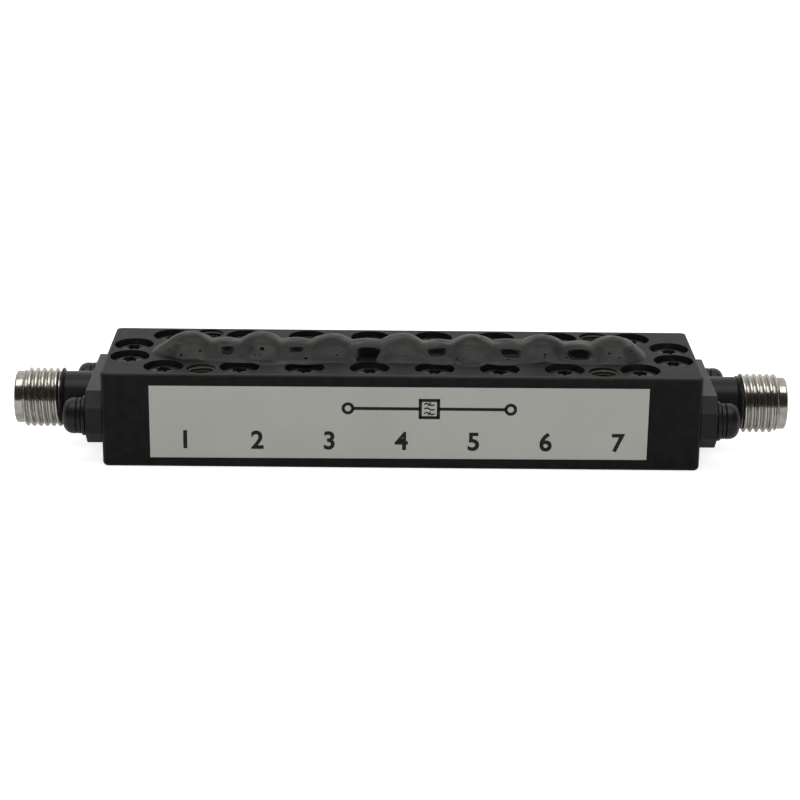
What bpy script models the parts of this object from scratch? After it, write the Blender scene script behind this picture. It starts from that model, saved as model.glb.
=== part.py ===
"""RF bandpass filter: a milled aluminium box, its screwed cover and two flange-mounted jacks.

The box stands on z = 0 with its length along X. The label is on the face at -Y. Seven posts in
the cavity are the resonators. A tuning screw comes down over each post, a coupling screw between
each two, and a ridge of sealant on the cover locks them all.

Run it with: blender --background --python part.py
"""
from math import cos, exp, pi, radians, sin, sqrt

import bmesh
import bpy
from mathutils import Matrix, Vector

MM = 0.001

# Body, as deep as the jacks' flanges and a margin on each side
BODY_LENGTH = 63.0 * MM
FLANGE_LENGTH = 15.8 * MM
FLANGE_MARGIN = 0.3 * MM
BODY_DEPTH = FLANGE_LENGTH + 2 * FLANGE_MARGIN
BODY_HEIGHT = 10.4 * MM
COVER_THICKNESS = 2.6 * MM
EDGE_RADIUS = 0.45 * MM
TOP_EDGE_CHAMFER = 0.12 * MM

# Cavity and resonator posts
END_WALL = 5.0 * MM
SIDE_WALL = 4.4 * MM
CAVITY_CORNER_RADIUS = 1.5 * MM
FLOOR_THICKNESS = 1.6 * MM
RESONATOR_PITCH = 7.576 * MM
RESONATOR_END_GAP = 3.7 * MM  # the least from the cavity's end to the first post's axis
POST_RADIUS = 1.3 * MM
POST_TO_COVER = 1.8 * MM

# Clearances
THREAD_CLEARANCE = 0.1 * MM
FIT_CLEARANCE = 0.03 * MM
SEALANT_CLEARANCE = 0.06 * MM
TIP_CLEARANCE = 0.3 * MM
JOINT_OVERLAP = 0.3 * MM
CUTTER_OVERRUN = 1.0 * MM

# Cover screws
COVER_SCREW_RADIUS = 1.0 * MM
COVER_SCREW_LENGTH = 5.0 * MM
END_SCREW_LENGTH = 2.2 * MM
HEAD_RADIUS = 1.88 * MM
HEAD_HEIGHT = 1.3 * MM
HEAD_EDGE = 0.3 * MM
HEAD_SINK = 0.45 * MM
COUNTERBORE_RADIUS = 2.1 * MM
SHANK_HOLE_CLEARANCE = 0.3 * MM
RECESS_SPAN = 1.75 * MM
RECESS_WAIST = 1.27 * MM
RECESS_DEPTH = 0.85 * MM
RECESS_LOBES = 6
RECESS_TURN_STEP = 47  # degrees from one screw's recess to the next

# Screw pattern
ROW_EDGE_WALL = 0.53 * MM
ROW_END_INSET = 6.4 * MM
ROW_PITCH = 6.8 * MM  # the least between two screws of the even run
MOUNT_SPAN = 7.97 * MM
END_SCREW_WALL = 0.4 * MM
END_SCREW_WEB = 0.1 * MM

# Mounting holes
MOUNT_HOLE_RADIUS = 1.5 * MM
MOUNT_HOLE_WALL = 0.4 * MM

# Tuning and coupling screws
TUNING_SCREW_RADIUS = 1.0 * MM
TUNING_POST_GAP = 0.8 * MM
TUNING_NUT_FLATS = 3.4 * MM
TUNING_NUT_HEIGHT = 1.0 * MM
COUPLING_SCREW_RADIUS = 0.8 * MM
COUPLING_DROP = 2.3 * MM
COUPLING_NUT_FLATS = 2.8 * MM
COUPLING_NUT_HEIGHT = 0.75 * MM
SCREW_ABOVE_NUT = 0.4 * MM
SLOT_WIDTH = 0.35 * MM
SLOT_DEPTH = 0.35 * MM

# Sealant
SEALANT_END_REACH = 3.27 * MM
SEALANT_END_ROUND = 2.6 * MM
SEALANT_VALLEY = 1.2 * MM
SEALANT_HUMP = 2.05 * MM
SEALANT_SMALL_HUMP = 1.5 * MM
SEALANT_HUMP_SPREAD = 1.45 * MM
SEALANT_SMALL_SPREAD = 1.0 * MM
SEALANT_HUMP_HALF_WIDTH = 3.8 * MM
SEALANT_NECK_HALF_WIDTH = 3.1 * MM
SEALANT_EDGE = 0.12 * MM
SEALANT_CROWN = 2.2  # 2 is an ellipse across the ridge, and more is squarer
SEALANT_END_TAPER = 0.93  # 1 would bring the ends to a point
SEALANT_COLUMNS = 70
SEALANT_ROWS = 6

# Label
LABEL_LEFT_MARGIN = 5.1 * MM
LABEL_RIGHT_MARGIN = 5.6 * MM
LABEL_TOP_MARGIN = 1.4 * MM
LABEL_BOTTOM_MARGIN = 1.2 * MM
LABEL_THICKNESS = 0.1 * MM

# Jacks, measured outwards from the body's end
JACK_BELOW_TOP = 5.4 * MM
FLANGE_HEIGHT = 5.8 * MM
FLANGE_THICKNESS = 1.8 * MM
FLANGE_CHAMFER = 1.5 * MM
FLANGE_HOLE_INSET = 1.8 * MM
NECK_RADIUS = 2.83 * MM
NECK_LENGTH = 3.2 * MM
THREAD_RADIUS = 3.175 * MM
THREAD_LENGTH = 4.15 * MM
THREAD_CHAMFER = 0.3 * MM
LEAD_RADIUS = 2.8 * MM
LEAD_LENGTH = 0.85 * MM
LEAD_EDGE = 0.2 * MM
MOUTH_RADIUS = 2.325 * MM
MOUTH_DEPTH = 1.9 * MM
INSULATOR_RADIUS = 2.05 * MM
CONTACT_RADIUS = 0.635 * MM
SOCKET_RADIUS = 0.47 * MM
SOCKET_DEPTH = 2.2 * MM
SOCKET_SLOT_WIDTH = 0.2 * MM
SOCKET_SLOT_DEPTH = 1.6 * MM
PIN_RADIUS = 0.45 * MM
PASSAGE_RADIUS = 1.05 * MM
PIN_POST_GAP = 0.05 * MM

# Flange screws with captive washers
FLANGE_SCREW_RADIUS = 1.0 * MM
FLANGE_SCREW_LENGTH = 6.0 * MM
FLAT_WASHER_RADIUS = 2.1 * MM
FLAT_WASHER_THICKNESS = 0.4 * MM
SPLIT_WASHER_RADIUS = 1.9 * MM
SPLIT_WASHER_THICKNESS = 0.55 * MM
FLANGE_HEAD_RADIUS = 1.9 * MM
FLANGE_HEAD_HEIGHT = 1.45 * MM
FLANGE_HEAD_ROUND = 0.85 * MM

# Facets
SMALL_SIDES = 12
HEAD_SIDES = 16
COUNTERBORE_SIDES = 20
BARREL_SIDES = 32
CORNER_SEGMENTS = 2
CAVITY_CORNER_SEGMENTS = 4
HEAD_ROUND_STEPS = 3
RECESS_LOBE_POINTS = 4
SMOOTH_BELOW = radians(40)
FLAT_WITHIN = radians(0.5)

# Heights and places that follow from the sizes above
HOUSING_HEIGHT = BODY_HEIGHT - COVER_THICKNESS
HALF_LENGTH = BODY_LENGTH / 2
HALF_DEPTH = BODY_DEPTH / 2
CAVITY_HALF_LENGTH = HALF_LENGTH - END_WALL
POST_TOP = HOUSING_HEIGHT - POST_TO_COVER
HEAD_SEAT = BODY_HEIGHT - HEAD_SINK - HEAD_HEIGHT
JACK_HEIGHT = BODY_HEIGHT - JACK_BELOW_TOP
FLANGE_SCREW_OFFSET = FLANGE_LENGTH / 2 - FLANGE_HOLE_INSET
RESONATOR_GAPS = int(2 * (CAVITY_HALF_LENGTH - RESONATOR_END_GAP) / RESONATOR_PITCH)
FIRST_POST = RESONATOR_GAPS * RESONATOR_PITCH / 2
JACK_TIP = FLANGE_THICKNESS + NECK_LENGTH + THREAD_LENGTH + LEAD_LENGTH
MOUTH_FLOOR = JACK_TIP - MOUTH_DEPTH

PARTS = "rf_bandpass_filter"
CUTTERS = "cutters"


def clear_scene():
    for ob in list(bpy.data.objects):
        bpy.data.objects.remove(ob, do_unlink=True)


def new_collection(name):
    collection = bpy.data.collections.new(name)
    bpy.context.scene.collection.children.link(collection)
    return collection


def new_material(name, colour, roughness, metallic):
    material = bpy.data.materials.new(name)
    material.use_nodes = True
    shader = material.node_tree.nodes["Principled BSDF"]
    shader.inputs["Base Color"].default_value = (*colour, 1.0)
    shader.inputs["Roughness"].default_value = roughness
    shader.inputs["Metallic"].default_value = metallic
    return material


def mesh_from(bm, name):
    """Turns a bmesh into a mesh, shaded smooth across its shallow edges."""
    mesh = bpy.data.meshes.new(name)
    bmesh.ops.recalc_face_normals(bm, faces=bm.faces)
    bm.to_mesh(mesh)
    bm.free()
    mesh.shade_smooth()
    mesh.set_sharp_from_angle(angle=SMOOTH_BELOW)
    return mesh


def add_part(name, mesh, material):
    ob = bpy.data.objects.new(name, mesh)
    if not mesh.materials:
        mesh.materials.append(material)
    bpy.data.collections[PARTS].objects.link(ob)
    return ob


def add_cutter(name, mesh):
    ob = bpy.data.objects.new(name, mesh)
    ob.display_type = "WIRE"
    ob.hide_render = True
    bpy.data.collections[CUTTERS].objects.link(ob)
    return ob


def boolean(target, tool, operation):
    modifier = target.modifiers.new(tool.name, "BOOLEAN")
    modifier.operation = operation
    modifier.solver = "EXACT"
    modifier.object = tool


def add_box(bm, size, centre):
    place = Matrix.Translation(centre) @ Matrix.Diagonal((*size, 1.0))
    return bmesh.ops.create_cube(bm, size=1.0, matrix=place)["verts"]


def add_cylinder(bm, radius, low, high, place=(0.0, 0.0), sides=SMALL_SIDES):
    """A closed cylinder along Z from low to high."""
    centre = Matrix.Translation((place[0], place[1], (low + high) / 2))
    bmesh.ops.create_cone(bm, cap_ends=True, segments=sides, radius1=radius, radius2=radius,
                          depth=high - low, matrix=centre)


def edges_where(bm, test):
    return [edge for edge in bm.edges if test(edge.verts[0].co, edge.verts[1].co)]


def is_vertical(a, b):
    return abs(a.z - b.z) > abs(a.x - b.x) + abs(a.y - b.y)


def turned_mesh(name, profile, sides):
    """Spins a profile of (radius, height) points, listed from the top down, about Z."""
    outline = bpy.data.meshes.new(name + "_profile")
    points = [(radius, 0.0, height) for radius, height in profile]
    steps = [(i, i + 1) for i in range(len(points) - 1)]
    outline.from_pydata(points, steps, [])
    ob = bpy.data.objects.new(name, outline)
    bpy.context.scene.collection.objects.link(ob)
    screw = ob.modifiers.new("turned", "SCREW")
    screw.axis = "Z"
    screw.steps = sides
    screw.render_steps = sides
    screw.use_merge_vertices = True
    screw.merge_threshold = 0.00001
    screw.use_smooth_shade = True
    mesh = bpy.data.meshes.new_from_object(ob.evaluated_get(bpy.context.evaluated_depsgraph_get()))
    bpy.data.objects.remove(ob, do_unlink=True)
    bpy.data.meshes.remove(outline)
    mesh.name = name
    mesh.set_sharp_from_angle(angle=SMOOTH_BELOW)
    return mesh


def row_screw_places():
    """An even run of screws and one beyond each mounting hole, along both long edges."""
    y = HALF_DEPTH - ROW_EDGE_WALL - COUNTERBORE_RADIUS
    outer = HALF_LENGTH - ROW_END_INSET
    inner = outer - MOUNT_SPAN
    gaps = int(2 * inner / ROW_PITCH)
    xs = [-outer] + [inner * (2 * i / gaps - 1) for i in range(gaps + 1)] + [outer]
    return [(x, side * y) for side in (-1, 1) for x in xs]


def end_screw_places():
    x = HALF_LENGTH - END_SCREW_WALL - COUNTERBORE_RADIUS
    y = COUNTERBORE_RADIUS + END_SCREW_WEB / 2
    return [(sx * x, sy * y) for sx in (-1, 1) for sy in (-1, 1)]


def mount_hole_places():
    x = HALF_LENGTH - ROW_END_INSET - MOUNT_SPAN / 2
    y = HALF_DEPTH - MOUNT_HOLE_WALL - MOUNT_HOLE_RADIUS
    return [(sx * x, sy * y) for sx in (-1, 1) for sy in (-1, 1)]


def resonator_places():
    return [i * RESONATOR_PITCH - FIRST_POST for i in range(RESONATOR_GAPS + 1)]


def coupling_places():
    return [x + RESONATOR_PITCH / 2 for x in resonator_places()[:-1]]


def hole_cutter(name, places, radius, low, high, sides=SMALL_SIDES):
    """One cutter of several cylinders that stand apart."""
    bm = bmesh.new()
    for place in places:
        add_cylinder(bm, radius, low, high, place, sides)
    return add_cutter(name, mesh_from(bm, name))


def passage_cutter(name, y, radius, inner, outer):
    """Two cylinders along X, one in each end wall, from |x| = inner to |x| = outer."""
    bm = bmesh.new()
    for side in (-1, 1):
        place = Matrix.Translation((side * (inner + outer) / 2, y, JACK_HEIGHT))
        turn = Matrix.Rotation(radians(90), 4, "Y")
        bmesh.ops.create_cone(bm, cap_ends=True, segments=SMALL_SIDES, radius1=radius,
                              radius2=radius, depth=outer - inner, matrix=place @ turn)
    return add_cutter(name, mesh_from(bm, name))


def recess_mesh(name, seat):
    """A lobed cutter whose floor is RECESS_DEPTH below seat."""
    low = seat - RECESS_DEPTH
    high = seat + CUTTER_OVERRUN
    middle = (RECESS_SPAN + RECESS_WAIST) / 4
    swing = (RECESS_SPAN - RECESS_WAIST) / 4
    count = RECESS_LOBES * RECESS_LOBE_POINTS
    corners = []
    for i in range(count):
        turn = 2 * pi * i / count
        radius = middle + swing * cos(RECESS_LOBES * turn)
        corners.append((radius * cos(turn), radius * sin(turn)))
    bm = bmesh.new()
    outline = bm.faces.new([bm.verts.new((x, y, low)) for x, y in corners])
    top = bmesh.ops.extrude_face_region(bm, geom=[outline])["geom"]
    lifted = [item for item in top if isinstance(item, bmesh.types.BMVert)]
    bmesh.ops.translate(bm, verts=lifted, vec=(0.0, 0.0, high - low))
    return mesh_from(bm, name)


def frozen_mesh(ob, name):
    """The evaluated mesh of an object, which is then removed."""
    mesh = bpy.data.meshes.new_from_object(ob.evaluated_get(bpy.context.evaluated_depsgraph_get()))
    mesh.name = name
    bpy.data.objects.remove(ob, do_unlink=True)
    return mesh


def make_housing(material):
    bm = bmesh.new()
    add_box(bm, (BODY_LENGTH, BODY_DEPTH, HOUSING_HEIGHT), (0.0, 0.0, HOUSING_HEIGHT / 2))
    broken = edges_where(bm, lambda a, b: is_vertical(a, b) or a.z + b.z < HOUSING_HEIGHT / 2)
    bmesh.ops.bevel(bm, geom=broken, offset=EDGE_RADIUS, segments=CORNER_SEGMENTS, profile=0.5,
                    affect="EDGES")
    housing = add_part("housing", mesh_from(bm, "housing"), material)

    cavity_height = HOUSING_HEIGHT - FLOOR_THICKNESS + CUTTER_OVERRUN
    bm = bmesh.new()
    add_box(bm, (2 * CAVITY_HALF_LENGTH, BODY_DEPTH - 2 * SIDE_WALL, cavity_height),
            (0.0, 0.0, FLOOR_THICKNESS + cavity_height / 2))
    bmesh.ops.bevel(bm, geom=edges_where(bm, is_vertical), offset=CAVITY_CORNER_RADIUS,
                    segments=CAVITY_CORNER_SEGMENTS, profile=0.5, affect="EDGES")
    boolean(housing, add_cutter("cavity", mesh_from(bm, "cavity")), "DIFFERENCE")

    posts = [(x, 0.0) for x in resonator_places()]
    boolean(housing, hole_cutter("posts", posts, POST_RADIUS, FLOOR_THICKNESS - JOINT_OVERLAP,
                                 POST_TOP, HEAD_SIDES), "UNION")

    above = HOUSING_HEIGHT + CUTTER_OVERRUN
    tapped = COVER_SCREW_RADIUS + THREAD_CLEARANCE
    row_floor = HEAD_SEAT - COVER_SCREW_LENGTH - TIP_CLEARANCE
    end_floor = HEAD_SEAT - END_SCREW_LENGTH - TIP_CLEARANCE
    boolean(housing, hole_cutter("row_taps", row_screw_places(), tapped, row_floor, above), "DIFFERENCE")
    boolean(housing, hole_cutter("end_taps", end_screw_places(), tapped, end_floor, above), "DIFFERENCE")
    boolean(housing, hole_cutter("housing_mount_holes", mount_hole_places(), MOUNT_HOLE_RADIUS,
                                 -CUTTER_OVERRUN, above, HEAD_SIDES), "DIFFERENCE")

    outside = HALF_LENGTH + CUTTER_OVERRUN
    boolean(housing, passage_cutter("coaxial_passages", 0.0, PASSAGE_RADIUS,
                                    CAVITY_HALF_LENGTH - JOINT_OVERLAP, outside), "DIFFERENCE")
    screw_end = HALF_LENGTH - flange_screw_reach() - TIP_CLEARANCE
    flange_tap = FLANGE_SCREW_RADIUS + THREAD_CLEARANCE
    for word, side in (("front", -1), ("rear", 1)):
        taps = passage_cutter(word + "_flange_taps", side * FLANGE_SCREW_OFFSET, flange_tap,
                              screw_end, outside)
        boolean(housing, taps, "DIFFERENCE")


def make_cover(material):
    bm = bmesh.new()
    add_box(bm, (BODY_LENGTH, BODY_DEPTH, COVER_THICKNESS),
            (0.0, 0.0, HOUSING_HEIGHT + COVER_THICKNESS / 2))
    bmesh.ops.bevel(bm, geom=edges_where(bm, is_vertical), offset=EDGE_RADIUS, segments=CORNER_SEGMENTS,
                    profile=0.5, affect="EDGES")
    middle = HOUSING_HEIGHT + COVER_THICKNESS / 2
    rim = edges_where(bm, lambda a, b: min(a.z, b.z) > middle)
    bmesh.ops.bevel(bm, geom=rim, offset=TOP_EDGE_CHAMFER, segments=1, affect="EDGES")
    cover = add_part("cover", mesh_from(bm, "cover"), material)

    low = HOUSING_HEIGHT - CUTTER_OVERRUN
    high = BODY_HEIGHT + CUTTER_OVERRUN
    screws = row_screw_places() + end_screw_places()
    tuning = [(x, 0.0) for x in resonator_places()]
    coupling = [(x, 0.0) for x in coupling_places()]
    cuts = [
        ("counterbores", screws, COUNTERBORE_RADIUS, HEAD_SEAT, COUNTERBORE_SIDES),
        ("shank_holes", screws, COVER_SCREW_RADIUS + SHANK_HOLE_CLEARANCE, low, SMALL_SIDES),
        ("cover_mount_holes", mount_hole_places(), MOUNT_HOLE_RADIUS, low, HEAD_SIDES),
        ("tuning_taps", tuning, TUNING_SCREW_RADIUS + THREAD_CLEARANCE, low, SMALL_SIDES),
        ("coupling_taps", coupling, COUPLING_SCREW_RADIUS + THREAD_CLEARANCE, low, SMALL_SIDES),
    ]
    for name, places, radius, floor, sides in cuts:
        boolean(cover, hole_cutter(name, places, radius, floor, high, sides), "DIFFERENCE")


def cover_screw_mesh(name, length, material):
    """A low round head with a lobed recess, seated at z = 0 with its shank below."""
    profile = [(0.0, HEAD_HEIGHT), (HEAD_RADIUS - HEAD_EDGE, HEAD_HEIGHT),
               (HEAD_RADIUS, HEAD_HEIGHT - HEAD_EDGE), (HEAD_RADIUS, 0.0),
               (COVER_SCREW_RADIUS, 0.0), (COVER_SCREW_RADIUS, -length), (0.0, -length)]
    blank = bpy.data.objects.new(name, turned_mesh(name, profile, HEAD_SIDES))
    bpy.context.scene.collection.objects.link(blank)
    recess = add_cutter(name + "_recess", recess_mesh(name + "_recess", HEAD_HEIGHT))
    boolean(blank, recess, "DIFFERENCE")
    mesh = frozen_mesh(blank, name)
    mesh.materials.append(material)
    return mesh


def make_cover_screws(material):
    long_mesh = cover_screw_mesh("row_screw", COVER_SCREW_LENGTH, material)
    short_mesh = cover_screw_mesh("end_screw", END_SCREW_LENGTH, material)
    places = [(place, long_mesh) for place in row_screw_places()]
    places += [(place, short_mesh) for place in end_screw_places()]
    for number, ((x, y), mesh) in enumerate(places, start=1):
        screw = add_part(f"cover_screw_{number:02d}", mesh, material)
        screw.location = (x, y, HEAD_SEAT)
        screw.rotation_euler = (0.0, 0.0, radians(number * RECESS_TURN_STEP))


def set_screw_mesh(name, radius, low, high, material):
    """A headless screw between two heights, with a slot across its top."""
    bm = bmesh.new()
    add_cylinder(bm, radius, low, high)
    blank = bpy.data.objects.new(name, mesh_from(bm, name))
    bpy.context.scene.collection.objects.link(blank)
    bm = bmesh.new()
    slot_height = SLOT_DEPTH + CUTTER_OVERRUN
    add_box(bm, (SLOT_WIDTH, 2 * radius + CUTTER_OVERRUN, slot_height),
            (0.0, 0.0, high - SLOT_DEPTH + slot_height / 2))
    boolean(blank, add_cutter(name + "_slot", mesh_from(bm, name + "_slot")), "DIFFERENCE")
    mesh = frozen_mesh(blank, name)
    mesh.materials.append(material)
    return mesh


def add_hexagon(bm, flats, low, high, x):
    """A hexagonal prism with two of its flats facing along X."""
    place = Matrix.Translation((x, 0.0, (low + high) / 2))
    corner = flats / 2 / cos(pi / 6)
    bmesh.ops.create_cone(bm, cap_ends=True, segments=6, radius1=corner, radius2=corner,
                          depth=high - low, matrix=place)


def nut_mesh(name, flats, height, bore, material):
    bm = bmesh.new()
    add_hexagon(bm, flats, 0.0, height, 0.0)
    blank = bpy.data.objects.new(name, mesh_from(bm, name))
    bpy.context.scene.collection.objects.link(blank)
    boolean(blank, hole_cutter(name + "_bore", [(0.0, 0.0)], bore, -CUTTER_OVERRUN,
                               height + CUTTER_OVERRUN), "DIFFERENCE")
    mesh = frozen_mesh(blank, name)
    mesh.materials.append(material)
    return mesh


def make_adjusters(kind, places, radius, tip, nut_flats, nut_height, material):
    """The screws of one kind and the nuts that lock them on the cover."""
    top = BODY_HEIGHT + nut_height + SCREW_ABOVE_NUT
    screw_mesh = set_screw_mesh(kind + "_screw", radius, tip, top, material)
    nut = nut_mesh(kind + "_nut", nut_flats, nut_height, radius + THREAD_CLEARANCE, material)
    for number, x in enumerate(places, start=1):
        screw = add_part(f"{kind}_screw_{number}", screw_mesh, material)
        screw.location = (x, 0.0, 0.0)
        locknut = add_part(f"{kind}_nut_{number}", nut, material)
        locknut.location = (x, 0.0, BODY_HEIGHT)


def sealant_swell(x, places, spread):
    """One near a place in the list, falling to nothing between places."""
    return min(1.0, sum(exp(-((x - place) / spread) ** 2) for place in places))


def sealant_point(s, v):
    """Plan place and height above the cover, for s along the ridge and v across it (-1 to 1)."""
    half_length = FIRST_POST + SEALANT_END_REACH
    x = s * half_length
    big = sealant_swell(x, resonator_places(), SEALANT_HUMP_SPREAD)
    small = sealant_swell(x, coupling_places(), SEALANT_SMALL_SPREAD)
    into_end = max(0.0, abs(x) - half_length + SEALANT_END_ROUND) / SEALANT_END_ROUND
    rounding = sqrt(1.0 - SEALANT_END_TAPER * into_end ** 2)
    spread = SEALANT_HUMP_HALF_WIDTH - SEALANT_NECK_HALF_WIDTH
    half_width = rounding * (SEALANT_NECK_HALF_WIDTH + spread * big)
    crest = (SEALANT_VALLEY + (SEALANT_HUMP - SEALANT_VALLEY) * big
             + (SEALANT_SMALL_HUMP - SEALANT_VALLEY) * small)
    dome = sqrt(max(0.0, 1.0 - abs(v) ** SEALANT_CROWN))
    height = SEALANT_EDGE + (crest * rounding - SEALANT_EDGE) * dome
    return x, v * half_width, height


def make_sealant(material):
    bm = bmesh.new()
    bmesh.ops.create_grid(bm, x_segments=SEALANT_COLUMNS, y_segments=SEALANT_ROWS, size=1.0)
    top = bmesh.ops.extrude_face_region(bm, geom=bm.faces[:])["geom"]
    lifted = {item for item in top if isinstance(item, bmesh.types.BMVert)}
    for vertex in bm.verts:
        x, y, height = sealant_point(vertex.co.x, vertex.co.y)
        rise = height if vertex in lifted else 0.0
        vertex.co = Vector((x, y, BODY_HEIGHT + rise))
    bmesh.ops.dissolve_limit(bm, angle_limit=FLAT_WITHIN, verts=bm.verts, edges=bm.edges)
    sealant = add_part("tuning_sealant", mesh_from(bm, "tuning_sealant"), material)

    kinds = [
        (resonator_places(), TUNING_SCREW_RADIUS, TUNING_NUT_FLATS, TUNING_NUT_HEIGHT),
        (coupling_places(), COUPLING_SCREW_RADIUS, COUPLING_NUT_FLATS, COUPLING_NUT_HEIGHT),
    ]
    under = BODY_HEIGHT - CUTTER_OVERRUN
    nuts = bmesh.new()
    ends = bmesh.new()
    for places, radius, flats, height in kinds:
        for x in places:
            add_hexagon(nuts, flats + 2 * SEALANT_CLEARANCE, under,
                        BODY_HEIGHT + height + SEALANT_CLEARANCE, x)
            add_cylinder(ends, radius + THREAD_CLEARANCE, under,
                         BODY_HEIGHT + height + SCREW_ABOVE_NUT + SEALANT_CLEARANCE, (x, 0.0))
    boolean(sealant, add_cutter("nut_pockets", mesh_from(nuts, "nut_pockets")), "DIFFERENCE")
    boolean(sealant, add_cutter("end_pockets", mesh_from(ends, "end_pockets")), "DIFFERENCE")


def make_label(material):
    length = BODY_LENGTH - LABEL_LEFT_MARGIN - LABEL_RIGHT_MARGIN
    height = BODY_HEIGHT - LABEL_TOP_MARGIN - LABEL_BOTTOM_MARGIN
    centre = ((LABEL_LEFT_MARGIN - LABEL_RIGHT_MARGIN) / 2, -HALF_DEPTH - LABEL_THICKNESS / 2,
              LABEL_BOTTOM_MARGIN + height / 2)
    bm = bmesh.new()
    add_box(bm, (length, LABEL_THICKNESS, height), centre)
    add_part("label", mesh_from(bm, "label"), material)


def flange_screw_reach():
    """How far a flange screw goes into the body's end."""
    washers = FLAT_WASHER_THICKNESS + SPLIT_WASHER_THICKNESS
    return FLANGE_SCREW_LENGTH - FLANGE_THICKNESS - washers


def jack_frame(word, side):
    """An empty on the jack's axis at the body's end, whose Z points outwards."""
    frame = bpy.data.objects.new(word + "_jack_frame", None)
    bpy.data.collections[PARTS].objects.link(frame)
    frame.location = (side * HALF_LENGTH, 0.0, JACK_HEIGHT)
    frame.rotation_euler = (0.0, side * radians(90), 0.0)
    return frame


def make_shell(word, frame, material):
    bm = bmesh.new()
    add_box(bm, (FLANGE_HEIGHT, FLANGE_LENGTH, FLANGE_THICKNESS), (0.0, 0.0, FLANGE_THICKNESS / 2))
    bmesh.ops.bevel(bm, geom=edges_where(bm, is_vertical), offset=FLANGE_CHAMFER, segments=1,
                    affect="EDGES")
    shell = add_part(word + "_jack_shell", mesh_from(bm, word + "_flange"), material)
    shell.parent = frame

    neck_top = FLANGE_THICKNESS + NECK_LENGTH
    thread_top = neck_top + THREAD_LENGTH
    barrel_profile = [
        (0.0, JACK_TIP), (LEAD_RADIUS - LEAD_EDGE, JACK_TIP), (LEAD_RADIUS, JACK_TIP - LEAD_EDGE),
        (LEAD_RADIUS, thread_top), (THREAD_RADIUS, thread_top - THREAD_CHAMFER),
        (THREAD_RADIUS, neck_top + THREAD_CHAMFER), (NECK_RADIUS, neck_top),
        (NECK_RADIUS, FLANGE_THICKNESS - JOINT_OVERLAP), (0.0, FLANGE_THICKNESS - JOINT_OVERLAP),
    ]
    barrel = add_cutter(word + "_barrel", turned_mesh(word + "_barrel", barrel_profile, BARREL_SIDES))
    barrel.parent = frame
    boolean(shell, barrel, "UNION")

    bore_profile = [
        (0.0, JACK_TIP + CUTTER_OVERRUN), (MOUTH_RADIUS, JACK_TIP + CUTTER_OVERRUN),
        (MOUTH_RADIUS, MOUTH_FLOOR), (INSULATOR_RADIUS, MOUTH_FLOOR),
        (INSULATOR_RADIUS, -CUTTER_OVERRUN), (0.0, -CUTTER_OVERRUN),
    ]
    bore = add_cutter(word + "_bore", turned_mesh(word + "_bore", bore_profile, BARREL_SIDES))
    bore.parent = frame
    boolean(shell, bore, "DIFFERENCE")

    holes = [(0.0, side * FLANGE_SCREW_OFFSET) for side in (-1, 1)]
    screw_holes = hole_cutter(word + "_flange_holes", holes,
                              FLANGE_SCREW_RADIUS + SHANK_HOLE_CLEARANCE, -CUTTER_OVERRUN,
                              FLANGE_THICKNESS + CUTTER_OVERRUN)
    screw_holes.parent = frame
    boolean(shell, screw_holes, "DIFFERENCE")


def make_insulator(word, frame, material):
    outer = INSULATOR_RADIUS - FIT_CLEARANCE
    inner = CONTACT_RADIUS + FIT_CLEARANCE
    ring = [(inner, MOUTH_FLOOR), (outer, MOUTH_FLOOR), (outer, 0.0), (inner, 0.0),
            (inner, MOUTH_FLOOR)]
    insulator = add_part(word + "_insulator", turned_mesh(word + "_insulator", ring, BARREL_SIDES),
                         material)
    insulator.parent = frame


def make_contact(word, frame, material):
    """A slotted socket in the insulator, and the pin that runs on to the first post."""
    pin_end = FIRST_POST + POST_RADIUS + PIN_POST_GAP - HALF_LENGTH
    socket_floor = MOUTH_FLOOR - SOCKET_DEPTH
    profile = [
        (0.0, socket_floor), (SOCKET_RADIUS, socket_floor), (SOCKET_RADIUS, MOUTH_FLOOR),
        (CONTACT_RADIUS, MOUTH_FLOOR), (CONTACT_RADIUS, 0.0), (PIN_RADIUS, 0.0),
        (PIN_RADIUS, pin_end), (0.0, pin_end),
    ]
    mesh = turned_mesh(word + "_contact", profile, HEAD_SIDES)
    contact = add_part(word + "_contact", mesh, material)
    contact.parent = frame
    bm = bmesh.new()
    height = SOCKET_SLOT_DEPTH + CUTTER_OVERRUN
    across = 2 * CONTACT_RADIUS + CUTTER_OVERRUN
    add_box(bm, (SOCKET_SLOT_WIDTH, across, height),
            (0.0, 0.0, MOUTH_FLOOR - SOCKET_SLOT_DEPTH + height / 2))
    slot = add_cutter(word + "_socket_slot", mesh_from(bm, word + "_socket_slot"))
    slot.parent = frame
    boolean(contact, slot, "DIFFERENCE")


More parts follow.
